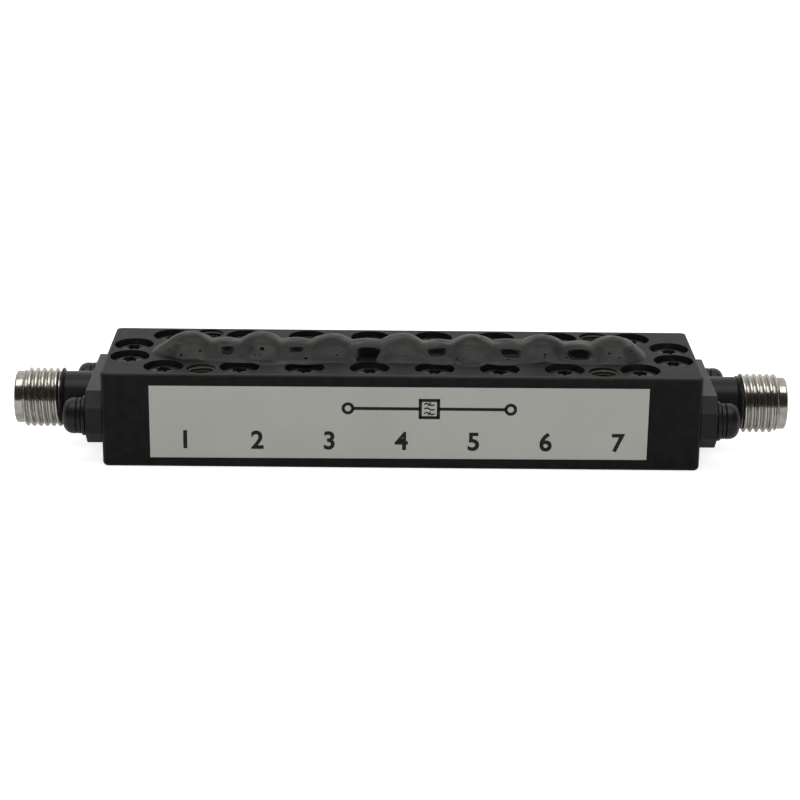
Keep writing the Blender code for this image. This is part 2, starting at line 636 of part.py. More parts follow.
def flange_screw_mesh(material):
    """A pan-head screw with its two washers, seated on the flange at z = 0."""
    split = FLAT_WASHER_THICKNESS + SPLIT_WASHER_THICKNESS
    top = split + FLANGE_HEAD_HEIGHT
    tip = split - FLANGE_SCREW_LENGTH
    turns = [pi / 2 * i / HEAD_ROUND_STEPS for i in range(HEAD_ROUND_STEPS + 1)]
    arc = [(FLANGE_HEAD_RADIUS - FLANGE_HEAD_ROUND * (1 - sin(turn)),
            top - FLANGE_HEAD_ROUND * (1 - cos(turn))) for turn in turns]
    profile = [(0.0, top)] + arc + [
        (FLANGE_HEAD_RADIUS, split), (SPLIT_WASHER_RADIUS, split),
        (SPLIT_WASHER_RADIUS, FLAT_WASHER_THICKNESS), (FLAT_WASHER_RADIUS, FLAT_WASHER_THICKNESS),
        (FLAT_WASHER_RADIUS, 0.0), (FLANGE_SCREW_RADIUS, 0.0), (FLANGE_SCREW_RADIUS, tip), (0.0, tip),
    ]
    blank = bpy.data.objects.new("flange_screw", turned_mesh("flange_screw", profile, HEAD_SIDES))
    bpy.context.scene.collection.objects.link(blank)
    recess = add_cutter("flange_screw_recess", recess_mesh("flange_screw_recess", top))
    boolean(blank, recess, "DIFFERENCE")
    mesh = frozen_mesh(blank, "flange_screw")
    mesh.materials.append(material)
    return mesh


def main():
    clear_scene()
    new_collection(PARTS)
    new_collection(CUTTERS)
    paint = new_material("black_paint", (0.018, 0.018, 0.018), 0.55, 0.0)
    screw_paint = new_material("painted_steel", (0.02, 0.02, 0.02), 0.5, 0.0)
    sealant = new_material("sealant", (0.025, 0.026, 0.025), 0.35, 0.0)
    steel = new_material("passivated_steel", (0.62, 0.6, 0.56), 0.28, 1.0)
    brass = new_material("brass", (0.72, 0.55, 0.28), 0.3, 1.0)
    gold = new_material("gold_plating", (0.83, 0.62, 0.3), 0.25, 1.0)
    ptfe = new_material("ptfe", (0.85, 0.85, 0.82), 0.5, 0.0)
    paper = new_material("label_film", (0.4, 0.4, 0.38), 0.5, 0.0)

    make_housing(paint)
    make_cover(paint)
    make_cover_screws(screw_paint)
    make_adjusters("tuning", resonator_places(), TUNING_SCREW_RADIUS, POST_TOP + TUNING_POST_GAP,
                   TUNING_NUT_FLATS, TUNING_NUT_HEIGHT, brass)
    make_adjusters("coupling", coupling_places(), COUPLING_SCREW_RADIUS,
                   HOUSING_HEIGHT - COUPLING_DROP, COUPLING_NUT_FLATS, COUPLING_NUT_HEIGHT, brass)
    make_sealant(sealant)
    make_label(paper)

    flange_screws = flange_screw_mesh(screw_paint)
    for word, side in (("left", -1), ("right", 1)):
        frame = jack_frame(word, side)
        make_shell(word, frame, steel)
        make_insulator(word, frame, ptfe)
        make_contact(word, frame, gold)
        for place, across in (("front", -1), ("rear", 1)):
            screw = add_part(f"{word}_flange_screw_{place}", flange_screws, screw_paint)
            screw.parent = frame
            screw.location = (0.0, across * FLANGE_SCREW_OFFSET, FLANGE_THICKNESS)


main()
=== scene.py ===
# %% [markdown]
# A bandpass filter for radio work is a milled aluminium bar with a lid, and a jack on each end.
# The makers paint it black after it is tuned, so the paint also covers the screws and the sealant.
# This lesson dresses the solids of such a filter. Each step names a piece of the real object, says
# how it could be made in Blender, and why one way was chosen.

# %% The frame and the modules
from math import cos, pi, radians, sin

import bmesh
import bpy
import numpy as np
from mathutils import Matrix, Vector, noise


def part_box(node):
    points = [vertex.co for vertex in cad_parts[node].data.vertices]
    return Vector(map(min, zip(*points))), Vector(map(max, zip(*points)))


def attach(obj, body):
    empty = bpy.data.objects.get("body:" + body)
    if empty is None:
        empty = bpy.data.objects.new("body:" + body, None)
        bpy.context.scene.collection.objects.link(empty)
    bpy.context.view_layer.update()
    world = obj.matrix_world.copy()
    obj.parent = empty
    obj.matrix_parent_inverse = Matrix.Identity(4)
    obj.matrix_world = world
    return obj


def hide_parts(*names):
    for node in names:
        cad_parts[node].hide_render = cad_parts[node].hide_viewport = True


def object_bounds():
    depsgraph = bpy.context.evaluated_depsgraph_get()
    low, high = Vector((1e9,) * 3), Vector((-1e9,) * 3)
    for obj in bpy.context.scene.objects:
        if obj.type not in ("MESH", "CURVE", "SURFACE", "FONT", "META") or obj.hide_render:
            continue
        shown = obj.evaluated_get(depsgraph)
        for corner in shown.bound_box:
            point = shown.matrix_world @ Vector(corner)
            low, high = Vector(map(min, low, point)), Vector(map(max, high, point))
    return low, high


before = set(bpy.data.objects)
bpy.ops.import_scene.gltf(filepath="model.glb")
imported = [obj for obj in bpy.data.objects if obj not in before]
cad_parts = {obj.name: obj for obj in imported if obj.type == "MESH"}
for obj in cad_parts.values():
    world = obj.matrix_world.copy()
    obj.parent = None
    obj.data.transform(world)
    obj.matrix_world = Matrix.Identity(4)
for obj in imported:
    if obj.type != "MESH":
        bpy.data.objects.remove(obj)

MM = 0.001
cad_low, cad_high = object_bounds()
print("CAD box in mm:", [round(value / MM, 2) for value in (*cad_low, *cad_high)])


def add_object(name, data):
    ob = bpy.data.objects.new(name, data)
    bpy.context.scene.collection.objects.link(ob)
    return ob

# %% [markdown]
# The camera comes first, because everything else is judged through it. The photograph was taken
# from a hand's breadth above the bar and nearly square to it, with a long lens. A turn, a height
# and a distance describe such a view better than a place and three angles, so the place is worked
# out from them: the camera looks at a point on the bar and steps back along its line of sight.

# %% The camera
VIEW_PITCH = radians(18.6)
VIEW_YAW = radians(0.49)
VIEW_ROLL = radians(-0.67)
VIEW_TARGET = Vector((-0.14, 0.0, 4.72)) * MM
VIEW_DISTANCE = 246.5 * MM
FRAME_PIXELS = 800
FOCAL_PIXELS = 2260
SENSOR_WIDTH = 36.0  # millimetres, as Blender's cameras count it


def add_camera():
    sight = Vector((0.0, cos(VIEW_PITCH), -sin(VIEW_PITCH)))
    across = Vector((1.0, 0.0, 0.0))
    upward = across.cross(sight)
    right = cos(VIEW_ROLL) * across - sin(VIEW_ROLL) * upward
    up = sin(VIEW_ROLL) * across + cos(VIEW_ROLL) * upward
    place = Matrix((right, up, -sight)).transposed().to_4x4()
    # the view's middle is level with the target, which is up the picture's own vertical
    place.translation = VIEW_TARGET.x * across + VIEW_TARGET.z * upward - VIEW_DISTANCE * sight
    camera = add_object("camera", bpy.data.cameras.new("camera"))
    camera.matrix_world = Matrix.Rotation(-VIEW_YAW, 4, "Z") @ place
    camera.data.sensor_width = SENSOR_WIDTH
    camera.data.lens = SENSOR_WIDTH * FOCAL_PIXELS / FRAME_PIXELS
    camera.data.clip_start = 10 * MM
    bpy.context.scene.camera = camera
    return camera


camera = add_camera()
print("camera at (mm):", [round(value / MM, 1) for value in camera.matrix_world.translation])

# %% [markdown]
# Small helpers are written once. A material is a node tree, so one function sets or links a node's
# sockets by name, and the others add a node and set it in the same line.

# %% Helpers for node trees
def wire(node, **sockets):
    """Sets a node's inputs by name, or as _0 and _1 by order. Another node's socket is linked."""
    for name, value in sockets.items():
        socket = node.inputs[int(name[1:])] if name[0] == "_" else node.inputs[name.replace("_", " ")]
        if isinstance(value, bpy.types.NodeSocket):
            node.id_data.links.new(value, socket)
        else:
            socket.default_value = value
    return node


def put(tree, kind, **sockets):
    return wire(tree.nodes.new(kind), **sockets)


def operate(kind, operation, *values):
    """A node that works on values in order, in the tree of the first one that is a socket."""
    tree = next(value.id_data for value in values if isinstance(value, bpy.types.NodeSocket))
    node = put(tree, kind, **{f"_{i}": value for i, value in enumerate(values)})
    node.operation = operation
    return node.outputs[0]


def maths(operation, *values):
    return operate("ShaderNodeMath", operation, *values)


def vector_maths(operation, *values):
    return operate("ShaderNodeVectorMath", operation, *values)


def ramp(value, low, high, out_low=0.0, out_high=1.0):
    """A value brought smoothly from one range to another, and held at its ends."""
    node = put(value.id_data, "ShaderNodeMapRange", Value=value, From_Min=low, From_Max=high,
               To_Min=out_low, To_Max=out_high)
    node.interpolation_type = "SMOOTHSTEP"
    return node.outputs[0]


def split(vector):
    return put(vector.id_data, "ShaderNodeSeparateXYZ", Vector=vector).outputs


def hypot(x, y):
    return maths("SQRT", maths("MULTIPLY_ADD", x, x, maths("MULTIPLY", y, y)))


def cloud(place, swells, detail, distortion=0.0):
    """Noise at a place, with so many swells to the millimetre."""
    return put(place.id_data, "ShaderNodeTexNoise", Vector=place, Scale=swells / MM, Detail=detail,
               Distortion=distortion).outputs[0]


def blend_colours(factor, first, second):
    """Mixes two colours, each a socket or three values."""
    node = factor.id_data.nodes.new("ShaderNodeMix")
    node.data_type = "RGBA"
    first, second = [(*colour, 1.0) if isinstance(colour, tuple) else colour for colour in (first, second)]
    return wire(node, _0=factor, _6=first, _7=second).outputs[2]


def bump(shader, height, distance):
    wire(shader, Normal=put(shader.id_data, "ShaderNodeBump", Strength=1.0, Distance=distance,
                            Height=height).outputs[0])


def new_material(name, colour, roughness, metallic=0.0, specular=0.5):
    """A material, its shader, and the place on the object for its textures."""
    material = bpy.data.materials.new(name)
    material.use_nodes = True
    nodes = material.node_tree.nodes
    shader = wire(nodes["Principled BSDF"], Base_Color=(*colour, 1.0), Roughness=roughness,
                  Metallic=metallic, Specular_IOR_Level=specular)
    return material, shader, nodes.new("ShaderNodeTexCoord").outputs["Object"]


def clouded_material(name, colours, rough, swells, detail, relief=0.0, share=None, **finish):
    """Colour and roughness drift between two values with one noise, or by a share made from it."""
    material, shader, place = new_material(name, colours[0], rough[0], **finish)
    drift = cloud(place, swells, detail)
    part = share(drift, place) if share else drift
    wire(shader, Base_Color=blend_colours(part, *colours), Roughness=ramp(drift, 0.3, 0.7, *rough))
    if relief:
        bump(shader, drift, relief)
    return material, shader, part


def new_group(name, inputs, outputs, kind="ShaderNodeTree"):
    """A tree with named sockets. Each comes with its default value, or with its kind's name."""
    tree = bpy.data.node_groups.new(name, kind)
    for way, sockets in (("INPUT", inputs), ("OUTPUT", outputs)):
        for label, value in sockets.items():
            sort = value if isinstance(value, str) else "Float" if isinstance(value, float) else "Vector"
            socket = tree.interface.new_socket(label, in_out=way, socket_type="NodeSocket" + sort)
            if value != sort:
                socket.default_value = value
    return tree, tree.nodes.new("NodeGroupInput").outputs, tree.nodes.new("NodeGroupOutput")


def use_group(group, Place, **sockets):
    node = Place.id_data.nodes.new("ShaderNodeGroup")
    node.node_tree = group
    return wire(node, Place=Place, **sockets).outputs


print("helpers ready")

# %% [markdown]
# Sprayed paint has a fine skin, like the peel of an orange, and a few specks of dust that settled
# while it was wet. The lid, the bar, the screws and the jacks were all sprayed together, so the
# effect is a group that each paint uses with its own sizes. Two noises of unlike scale make it:
# a coarse one for the flow of the paint, and a fine one for the grain.

# %% Group: sprayed skin
GRAIN_SHARE = 0.35


def sprayed_skin_group():
    tree, inside, out = new_group(
        "sprayed_skin",
        {"Place": "Vector", "Flow Size": 1.2, "Grain Size": 0.16, "Roughness": 0.5,
         "Roughness Swing": 0.08},
        {"Height": "Float", "Roughness": "Float", "Mottle": "Float"})
    flow, grain = [put(tree, "ShaderNodeTexNoise", Vector=inside["Place"], Detail=detail,
                       Scale=maths("DIVIDE", 1.0 / MM, inside[size])).outputs[0]
                   for size, detail in (("Flow Size", 2.0), ("Grain Size", 1.0))]
    swing = maths("MULTIPLY_ADD", flow, 2.0, -1.0)
    rough = maths("MULTIPLY_ADD", swing, inside["Roughness Swing"], inside["Roughness"])
    height = maths("MULTIPLY_ADD", grain, GRAIN_SHARE, flow)
    wire(out, Height=height, Roughness=rough, Mottle=flow)
    return tree


sprayed_skin = sprayed_skin_group()
print("group:", sprayed_skin.name)

# %% [markdown]
# Dust lies in single specks. A Voronoi texture gives one random point in each cell, so the specks
# are the cells whose random colour is high, close to their points.

# %% Group: dust specks
def dust_group():
    tree, inside, out = new_group(
        "dust_specks", {"Place": "Vector", "Spacing": 1.6, "Speck": 0.05, "Share": 0.3},
        {"Mask": "Float"})
    cells = put(tree, "ShaderNodeTexVoronoi", Vector=inside["Place"],
                Scale=maths("DIVIDE", 1.0 / MM, inside["Spacing"])).outputs
    reach = maths("DIVIDE", inside["Speck"], inside["Spacing"])
    near = maths("LESS_THAN", cells["Distance"], reach)
    pick = put(tree, "ShaderNodeSeparateColor", Color=cells["Color"]).outputs[0]
    chosen = maths("LESS_THAN", pick, inside["Share"])
    wire(out, Mask=maths("MULTIPLY", near, chosen))
    return tree


dust_specks = dust_group()
print("group:", dust_specks.name)

# %% [markdown]
# The edges of the bar show a thin paler line: a painted highlight where a rounded edge catches light.
# The bar is a box, so how near a point is to an edge follows from its place alone: a point on an
# edge lies on two faces at once. The second smallest distance to the three pairs of faces is the
# distance to the nearest edge.

# %% Group: painted highlight along the edges of a box
def box_edge_group():
    tree, inside, out = new_group(
        "pale_box_edges",
        {"Place": "Vector", "Centre": (0.0, 0.0, 0.0), "Half Size": (1.0, 1.0, 1.0), "Width": 0.2},
        {"Mask": "Float"})
    apart = vector_maths("SUBTRACT", inside["Place"], inside["Centre"])
    depth = vector_maths("SUBTRACT", inside["Half Size"], vector_maths("ABSOLUTE", apart))
    x, y, z = split(depth)
    least, most, total = [maths(way, maths(way, x, y), z)
                          for way in ("MINIMUM", "MAXIMUM", "ADD")]
    second = maths("SUBTRACT", maths("SUBTRACT", total, least), most)
    width = maths("MULTIPLY", inside["Width"], MM)
    fade = maths("MAXIMUM", maths("SUBTRACT", 1.0, maths("DIVIDE", second, width)), 0.0)
    broken = ramp(cloud(inside["Place"], 0.6, 3.0), 0.2, 0.7, 0.75, 1.0)
    wire(out, Mask=maths("MULTIPLY", fade, broken))
    return tree


pale_box_edges = box_edge_group()
print("group:", pale_box_edges.name)

# %% [markdown]
# The bar's paint is a flat black with a satin skin. Seen nearly edge on, as the lid is in the
# photograph, it turns grey, because any surface mirrors more at a low angle. The shader does that
# by itself, so the colour stays black.

# %% Material: body paint
body_low, body_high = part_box("housing")[0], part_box("cover")[1]
body_centre = (body_low + body_high) / 2
body_half = (body_high - body_low) / 2
BLACK = (0.0068, 0.0074, 0.0070)
# grey of the painted highlight along the bar's edges
EDGE_HIGHLIGHT_GREY = (0.05, 0.05, 0.048)
DUST = (0.25, 0.19, 0.17)
EDGE_WIDTH = 0.3  # of the pale line along the bar's edges, in mm


def paint_material(name, roughness, specular, skin_depth, edges=False, dust=0.0):
    material, shader, place = new_material(name, BLACK, roughness, specular=specular)
    skin = use_group(sprayed_skin, Place=place, Roughness=roughness)
    paint = vector_maths("MULTIPLY", ramp(skin["Mottle"], 0.3, 0.7, 0.75, 1.25), BLACK)
    if edges:
        # a painted highlight: a paler line along the bar's edges
        edge = use_group(pale_box_edges, Place=place, Centre=body_centre, Half_Size=body_half,
                         Width=EDGE_WIDTH)
        paint = blend_colours(edge["Mask"], paint, EDGE_HIGHLIGHT_GREY)
    if dust:
        specks = use_group(dust_specks, Place=place, Share=dust)
        paint = blend_colours(specks["Mask"], paint, DUST)
    wire(shader, Base_Color=paint, Roughness=skin["Roughness"])
    bump(shader, skin["Height"], skin_depth)
    return material


body_paint = paint_material("body_paint", 0.42, 0.1, 0.006 * MM, edges=True, dust=0.02)
screw_paint = paint_material("screw_paint", 0.36, 0.3, 0.004 * MM)
print("materials:", body_paint.name, screw_paint.name)

# %% [markdown]
# A turned piece, such as a screw or a jack, is an outline spun round its axis. Blender has a Screw
# modifier and a spin operator for it. Here a short function spins the outline ring by ring, because
# it gives clean quads, closed ends and no doubles to merge, and a later step can displace the rings.

# %% Helpers: turned shapes and working objects
SMOOTH_BELOW = 35  # degrees between faces, beyond which an edge is sharp
MILLED_BELOW = 30
CUT = "DIFFERENCE"
JOIN = "UNION"


def sharpened(mesh, smooth_below=SMOOTH_BELOW):
    mesh.set_sharp_from_angle(angle=radians(smooth_below))
    return mesh


def written(bm, name):
    mesh = bpy.data.meshes.new(name)
    bm.to_mesh(mesh)
    bm.free()
    return mesh


def mesh_of(bm, name, smooth_below=SMOOTH_BELOW):
    bmesh.ops.recalc_face_normals(bm, faces=bm.faces)
    mesh = written(bm, name)
    mesh.shade_smooth()
    return sharpened(mesh, smooth_below)


def merged(name, meshes):
    """Several meshes as one, in their order."""
    bm = bmesh.new()
    for mesh in meshes:
        bm.from_mesh(mesh)
    return written(bm, name)


def bridge(bm, rows, wrap=True, caps=False):
    """Fills between rows of vertices, each to the next. A row that wraps is a ring."""
    for first, second in zip(rows, rows[1:]):
        for i in range(len(first) if wrap else len(first) - 1):
            j = (i + 1) % len(first)
            corners = [first[i], first[j], second[j], second[i]]
            bm.faces.new([v for k, v in enumerate(corners) if v not in corners[:k]])
    if caps:
        bm.faces.new(rows[0][::-1])
        bm.faces.new(rows[-1])


def turned(name, outline, sides, closed=False):
    """Spins (radius, height) points, listed from the axis at the top down, about Z."""
    bm = bmesh.new()
    rings = []
    for radius, height in outline:
        turns = [2 * pi * i / sides for i in range(sides)] if radius else [0.0]
        ring = [bm.verts.new((radius * cos(t), radius * sin(t), height)) for t in turns]
        rings.append(ring if radius else ring * sides)
    bridge(bm, rings + rings[:1] if closed else rings)
    return mesh_of(bm, name)


def rounded_corner(radius, height, round_by, steps):
    """Points of a quarter round at the outer corner of a turned shape, from its top to its side."""
    turns = [pi / 2 * i / steps for i in range(steps + 1)]
    return [(radius - round_by * (1 - sin(t)), height - round_by * (1 - cos(t))) for t in turns]


def stand_in(mesh):
    """A working object that is used up before the end."""
    return add_object(mesh.name, mesh)


def frozen(ob):
    """The evaluated mesh of a working object, which is then removed."""
    bpy.context.view_layer.update()
    mesh = bpy.data.meshes.new_from_object(ob.evaluated_get(bpy.context.evaluated_depsgraph_get()))
    mesh.name = ob.name
    bpy.data.objects.remove(ob, do_unlink=True)
    return mesh


def carved(mesh, *steps):
    """Cuts a mesh with others or joins them to it, in turn. Each step is (operation, mesh)."""
    ob = stand_in(mesh)
    tools = []
    for operation, tool_mesh in steps:
        tools.append(stand_in(tool_mesh))
        modifier = ob.modifiers.new(tool_mesh.name, "BOOLEAN")
        modifier.operation = operation
        modifier.solver = "EXACT"
        modifier.object = tools[-1]
    result = frozen(ob)
    for tool in tools:
        bpy.data.objects.remove(tool, do_unlink=True)
    return result


def flat_faced(mesh, smooth_below=MILLED_BELOW):
    """Keeps a milled block's wide faces flat in the shading, and its narrow rounds smooth."""
    ob = stand_in(sharpened(mesh, smooth_below))
    modifier = ob.modifiers.new("flat_faces", "WEIGHTED_NORMAL")
    modifier.keep_sharp = True
    modifier.weight = 100
    return frozen(ob)


def finish_piece(name, mesh, nodes, material):
    """Makes the final object at the origin, rides it on the one body and hides the solids that it replaces.
    """
    mesh.name = name
    mesh.materials.clear()
    mesh.materials.append(material)
    piece = add_object(name, mesh)
    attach(piece, "root")
    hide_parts(*nodes)
    triangles = sum(len(polygon.vertices) - 2 for polygon in mesh.polygons)
    print(f"{name}: {triangles} triangles, replaces {len(nodes)}")


print("turning ready")

# %% [markdown]
# The filter repeats a few things many times: twenty screws, the holes that they sit in, the nuts under the
# sealant. One Geometry Nodes tree serves the screws and the holes. It takes a cloud of points, puts a copy
# of a master piece on each, turns and sizes it by the point's own attributes, and ends in Realize Instances
# and Set Material, because an export drops what is still an instance.

# %% Geometry Nodes: a master piece set on points
def dressed(tree, geometry, material):
    """How every Geometry Nodes tree here ends."""
    real = put(tree, "GeometryNodeRealizeInstances", Geometry=geometry)
    return put(tree, "GeometryNodeSetMaterial", Geometry=real.outputs[0], Material=material).outputs[0]


def grown(mesh, tree, **inputs):
    """The plain mesh that a Geometry Nodes tree makes of another. Inputs are set by identifier."""
    carrier = stand_in(mesh)
    modifier = carrier.modifiers.new(tree.name, "NODES")
    modifier.node_group = tree
    keys = {item.name: item.identifier for item in tree.interface.items_tree}
    for label, value in inputs.items():
        modifier[keys[label.replace("_", " ")]] = value
    return frozen(carrier)


def set_on_points_tree():
    tree, inside, out = new_group(
        "set_on_points",
        {"Places": "Geometry", "Master": "Object", "Size": 1.0, "Material": "Material"},
        {"Pieces": "Geometry"}, "GeometryNodeTree")
    master = put(tree, "GeometryNodeObjectInfo", Object=inside["Master"])
    turn, size = [put(tree, "GeometryNodeInputNamedAttribute", Name=name) for name in ("turn", "size")]
    turn.data_type = "FLOAT_VECTOR"
    turn_by = put(tree, "FunctionNodeEulerToRotation", Euler=turn.outputs["Attribute"])
    scale = maths("MULTIPLY", size.outputs["Attribute"], inside["Size"])
    spread = put(tree, "GeometryNodeInstanceOnPoints", Points=inside["Places"],
                 Instance=master.outputs["Geometry"], Rotation=turn_by.outputs[0], Scale=scale)
    wire(out, Pieces=dressed(tree, spread.outputs[0], inside["Material"]))
    return tree


set_on_points = set_on_points_tree()


def set_master(name, master_mesh, spots, material=None, size=1.0):
    """Sets a master mesh on (place, turn, size) spots and returns the plain mesh of them all."""
    places, turns, sizes = zip(*spots)
    points = bpy.data.meshes.new(name)
    points.from_pydata(places, [], [])
    for label, kind, field, values in (("turn", "FLOAT_VECTOR", "vector", turns),
                                       ("size", "FLOAT", "value", sizes)):
        data = points.attributes.new(label, kind, "POINT").data
        data.foreach_set(field, np.ravel(values))
    master = stand_in(master_mesh)
    mesh = grown(points, set_on_points, Master=master, Size=size, Material=material)
    bpy.data.objects.remove(master, do_unlink=True)
    return mesh


def upright(x, y, z=0.0, spin=0.0):
    return (Vector((x, y, z)), (0.0, 0.0, spin), 1.0)


print("tree:", set_on_points.name)

# %% [markdown]
# The bar and its lid are two milled blocks. A block with rounded corners comes from a cube whose
# edges are bevelled, and its holes from Boolean cuts. The paint rounds every rim a little, so each
# cutter is a turned plug that flares at the top: the cut then leaves a soft rim that catches light.

# %% Sizes of the holes, from the solids
screw_boxes = {name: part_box(name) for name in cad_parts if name.startswith("cover_screw_")}
screw_places = {name: (low + high) / 2 for name, (low, high) in screw_boxes.items()}
HEAD_RADIUS = 1.94 * MM
HEAD_HEIGHT = 1.45 * MM
HEAD_SINK = 0.3 * MM
COUNTERBORE_RADIUS = 2.1 * MM
SHANK_RADIUS = 1.0 * MM
SHANK_HOLE_RADIUS = 1.3 * MM
TAP_RADIUS = 1.1 * MM
COUPLING_TAP_RADIUS = 0.9 * MM
LID_TOP = body_high.z
HEAD_TOP = LID_TOP - HEAD_SINK
HEAD_SEAT = HEAD_TOP - HEAD_HEIGHT
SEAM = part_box("housing")[1].z
RIM_ROUND = 0.04 * MM
MOUNT_HOLE_RADIUS = 1.5 * MM
MOUNT_HOLE_X = 21.115 * MM
MOUNT_HOLE_Y = 6.3 * MM
mount_places = [(sx * MOUNT_HOLE_X, sy * MOUNT_HOLE_Y) for sx in (-1, 1) for sy in (-1, 1)]


def middles(name, count):
    boxes = [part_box(f"{name}_{n}") for n in range(1, count + 1)]
    return [(low + high) / 2 for low, high in boxes]


tuning_places = middles("tuning_nut", 7)
coupling_places = middles("coupling_nut", 6)
print("row screws at x (mm):", sorted({round(p.x / MM, 2) for p in screw_places.values()}))

# %% Drilled blocks
HOLE_SIDES = 72
TAP_SIDES = 32
HIDDEN_TAP_SIDES = 24
RIM_STEPS = 4
OVERRUN = 1.0 * MM
CORNER_ROUND = 0.55 * MM
CORNER_STEPS = 6
TOP_EDGE_ROUND = 0.09 * MM


def plug(radius, low, high, rim_at=None, shank=None):
    """A cutter's outline from the top down, flared at the rim, with an optional narrower shank."""
    outline = [(0.0, high)]
    if rim_at is None:
        outline.append((radius, high))
    else:
        turns = [pi / 2 * i / RIM_STEPS for i in range(RIM_STEPS + 1)]
        outline.append((radius + RIM_ROUND, high))
        outline += [(radius + RIM_ROUND * (1 - sin(t)), rim_at - RIM_ROUND * (1 - cos(t))) for t in turns]
    outline.append((radius, low))
    if shank:
        shank_radius, foot = shank
        outline += [(shank_radius, low), (shank_radius, foot)]
    return outline + [(0.0, outline[-1][1])]


def drills(name, spots, outline, sides=TAP_SIDES):
    """Turned plugs on many spots, as one mesh."""
    return set_master(name, turned(name + "_plug", outline, sides), spots)


def uprights(places):
    return [upright(place[0], place[1]) for place in places]


def rounded_block(name, low, high, corner, top_edge=0.0, round_foot=False):
    """A box with rounded upright edges. The edges of its foot may share their round."""
    bm = bmesh.new()
    size = high - low
    centre = Matrix.Translation((low + high) / 2) @ Matrix.Diagonal((*size, 1.0))
    bmesh.ops.create_cube(bm, size=1.0, matrix=centre)
    middle = (low.z + high.z) / 2

    def soften(width, test):
        edges = [edge for edge in bm.edges if test(edge.verts[0].co, edge.verts[1].co)]
        bmesh.ops.bevel(bm, geom=edges, offset=width, segments=CORNER_STEPS, profile=0.5, affect="EDGES")

    soften(corner, lambda a, b: abs(a.z - b.z) > size.z / 2 or (round_foot and max(a.z, b.z) < middle))
    if top_edge:
        soften(top_edge, lambda a, b: min(a.z, b.z) > middle)
    return mesh_of(bm, name)


def make_lid():
    low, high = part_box("cover")
    top = high.z + OVERRUN
    bottom = low.z - OVERRUN
    screw_hole = plug(COUNTERBORE_RADIUS, HEAD_SEAT, top, high.z, (SHANK_HOLE_RADIUS, bottom))
    holes = [
        drills("screw_holes", uprights(screw_places.values()), screw_hole, HOLE_SIDES),
        drills("mount_holes", uprights(mount_places), plug(MOUNT_HOLE_RADIUS, bottom, top, high.z),
               HOLE_SIDES),
        drills("tuning_taps", uprights(tuning_places), plug(TAP_RADIUS, bottom, top), HIDDEN_TAP_SIDES),
        drills("coupling_taps", uprights(coupling_places), plug(COUPLING_TAP_RADIUS, bottom, top),
               HIDDEN_TAP_SIDES)]
    block = rounded_block("lid_block", low, high, CORNER_ROUND, TOP_EDGE_ROUND)
    mesh = carved(block, (CUT, merged("lid_holes", holes)))
    finish_piece("painted_cover", flat_faced(mesh), ["cover"], body_paint)


make_lid()

# %% [markdown]
# The bar under the lid holds the cavity, with seven posts that stand in it like chess pawns. None
# of that shows, but a part that is cut open or exported should have it. The cavity is cut first,
# and the posts are joined back to its floor.

# %% The bar
CAVITY_HALF_LENGTH = 26.5 * MM
CAVITY_HALF_WIDTH = 3.8 * MM
CAVITY_CORNER = 1.5 * MM
CAVITY_FLOOR = 1.6 * MM
POST_RADIUS = 1.3 * MM
POST_TOP = 6.0 * MM
POST_FOOT = CAVITY_FLOOR - 0.3 * MM
ROW_TAP_FLOOR = 3.35 * MM
END_TAP_FLOOR = 6.15 * MM
ROW_FROM = 4 * MM  # screws further than this from the middle line are in a row
JACK_AXIS = 5.0 * MM
PASSAGE_RADIUS = 1.05 * MM
PASSAGE_START = 26.2 * MM
FLANGE_TAP_START = 27.85 * MM
FLANGE_SCREW_Y = 6.1 * MM
SIDES = {"left": -1, "right": 1}


def sideways(side, y=0.0, spin=0.0):
    """A spot on a jack's side of the bar, whose Z points outwards along X."""
    turn = Matrix.Rotation(side * pi / 2, 4, "Y") @ Matrix.Rotation(spin, 4, "Z")
    return (Vector((0.0, y, JACK_AXIS)), tuple(turn.to_euler("XYZ")), 1.0)


def make_bar():
    low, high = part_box("housing")
    above = high.z + OVERRUN
    outside = high.x + OVERRUN
    cavity = rounded_block("cavity", Vector((-CAVITY_HALF_LENGTH, -CAVITY_HALF_WIDTH, CAVITY_FLOOR)),
                           Vector((CAVITY_HALF_LENGTH, CAVITY_HALF_WIDTH, SEAM + OVERRUN)), CAVITY_CORNER)
    posts = [upright(place.x, 0.0) for place in tuning_places]
    row = [place for place in screw_places.values() if abs(place.y) > ROW_FROM]
    end = [place for place in screw_places.values() if abs(place.y) < ROW_FROM]
    flange_spots = [sideways(side, y) for side in SIDES.values() for y in (-FLANGE_SCREW_Y, FLANGE_SCREW_Y)]
    mesh = carved(
        rounded_block("bar_block", low, high, CORNER_ROUND, round_foot=True),
        (CUT, cavity),
        (JOIN, drills("posts", posts, plug(POST_RADIUS, POST_FOOT, POST_TOP))),
        (CUT, drills("row_taps", uprights(row), plug(TAP_RADIUS, ROW_TAP_FLOOR, above))),
        (CUT, drills("end_taps", uprights(end), plug(TAP_RADIUS, END_TAP_FLOOR, above))),
        (CUT, drills("bar_mount_holes", uprights(mount_places),
                     plug(MOUNT_HOLE_RADIUS, low.z - OVERRUN, above), HOLE_SIDES)),
        (CUT, drills("passages", [sideways(side) for side in SIDES.values()],
                     plug(PASSAGE_RADIUS, PASSAGE_START, outside))),
        (CUT, drills("flange_taps", flange_spots, plug(TAP_RADIUS, FLANGE_TAP_START, outside))))
    finish_piece("painted_housing", flat_faced(mesh), ["housing"], body_paint)


make_bar()

# %% [markdown]
# The lid screws are pan heads with a six-lobed recess. The head is turned, and the recess is a
# Boolean cut with a prism whose outline follows one formula: a circle whose radius swells six times
# on its way round. A long screw and a short one are set on twenty points, each with its own turn.

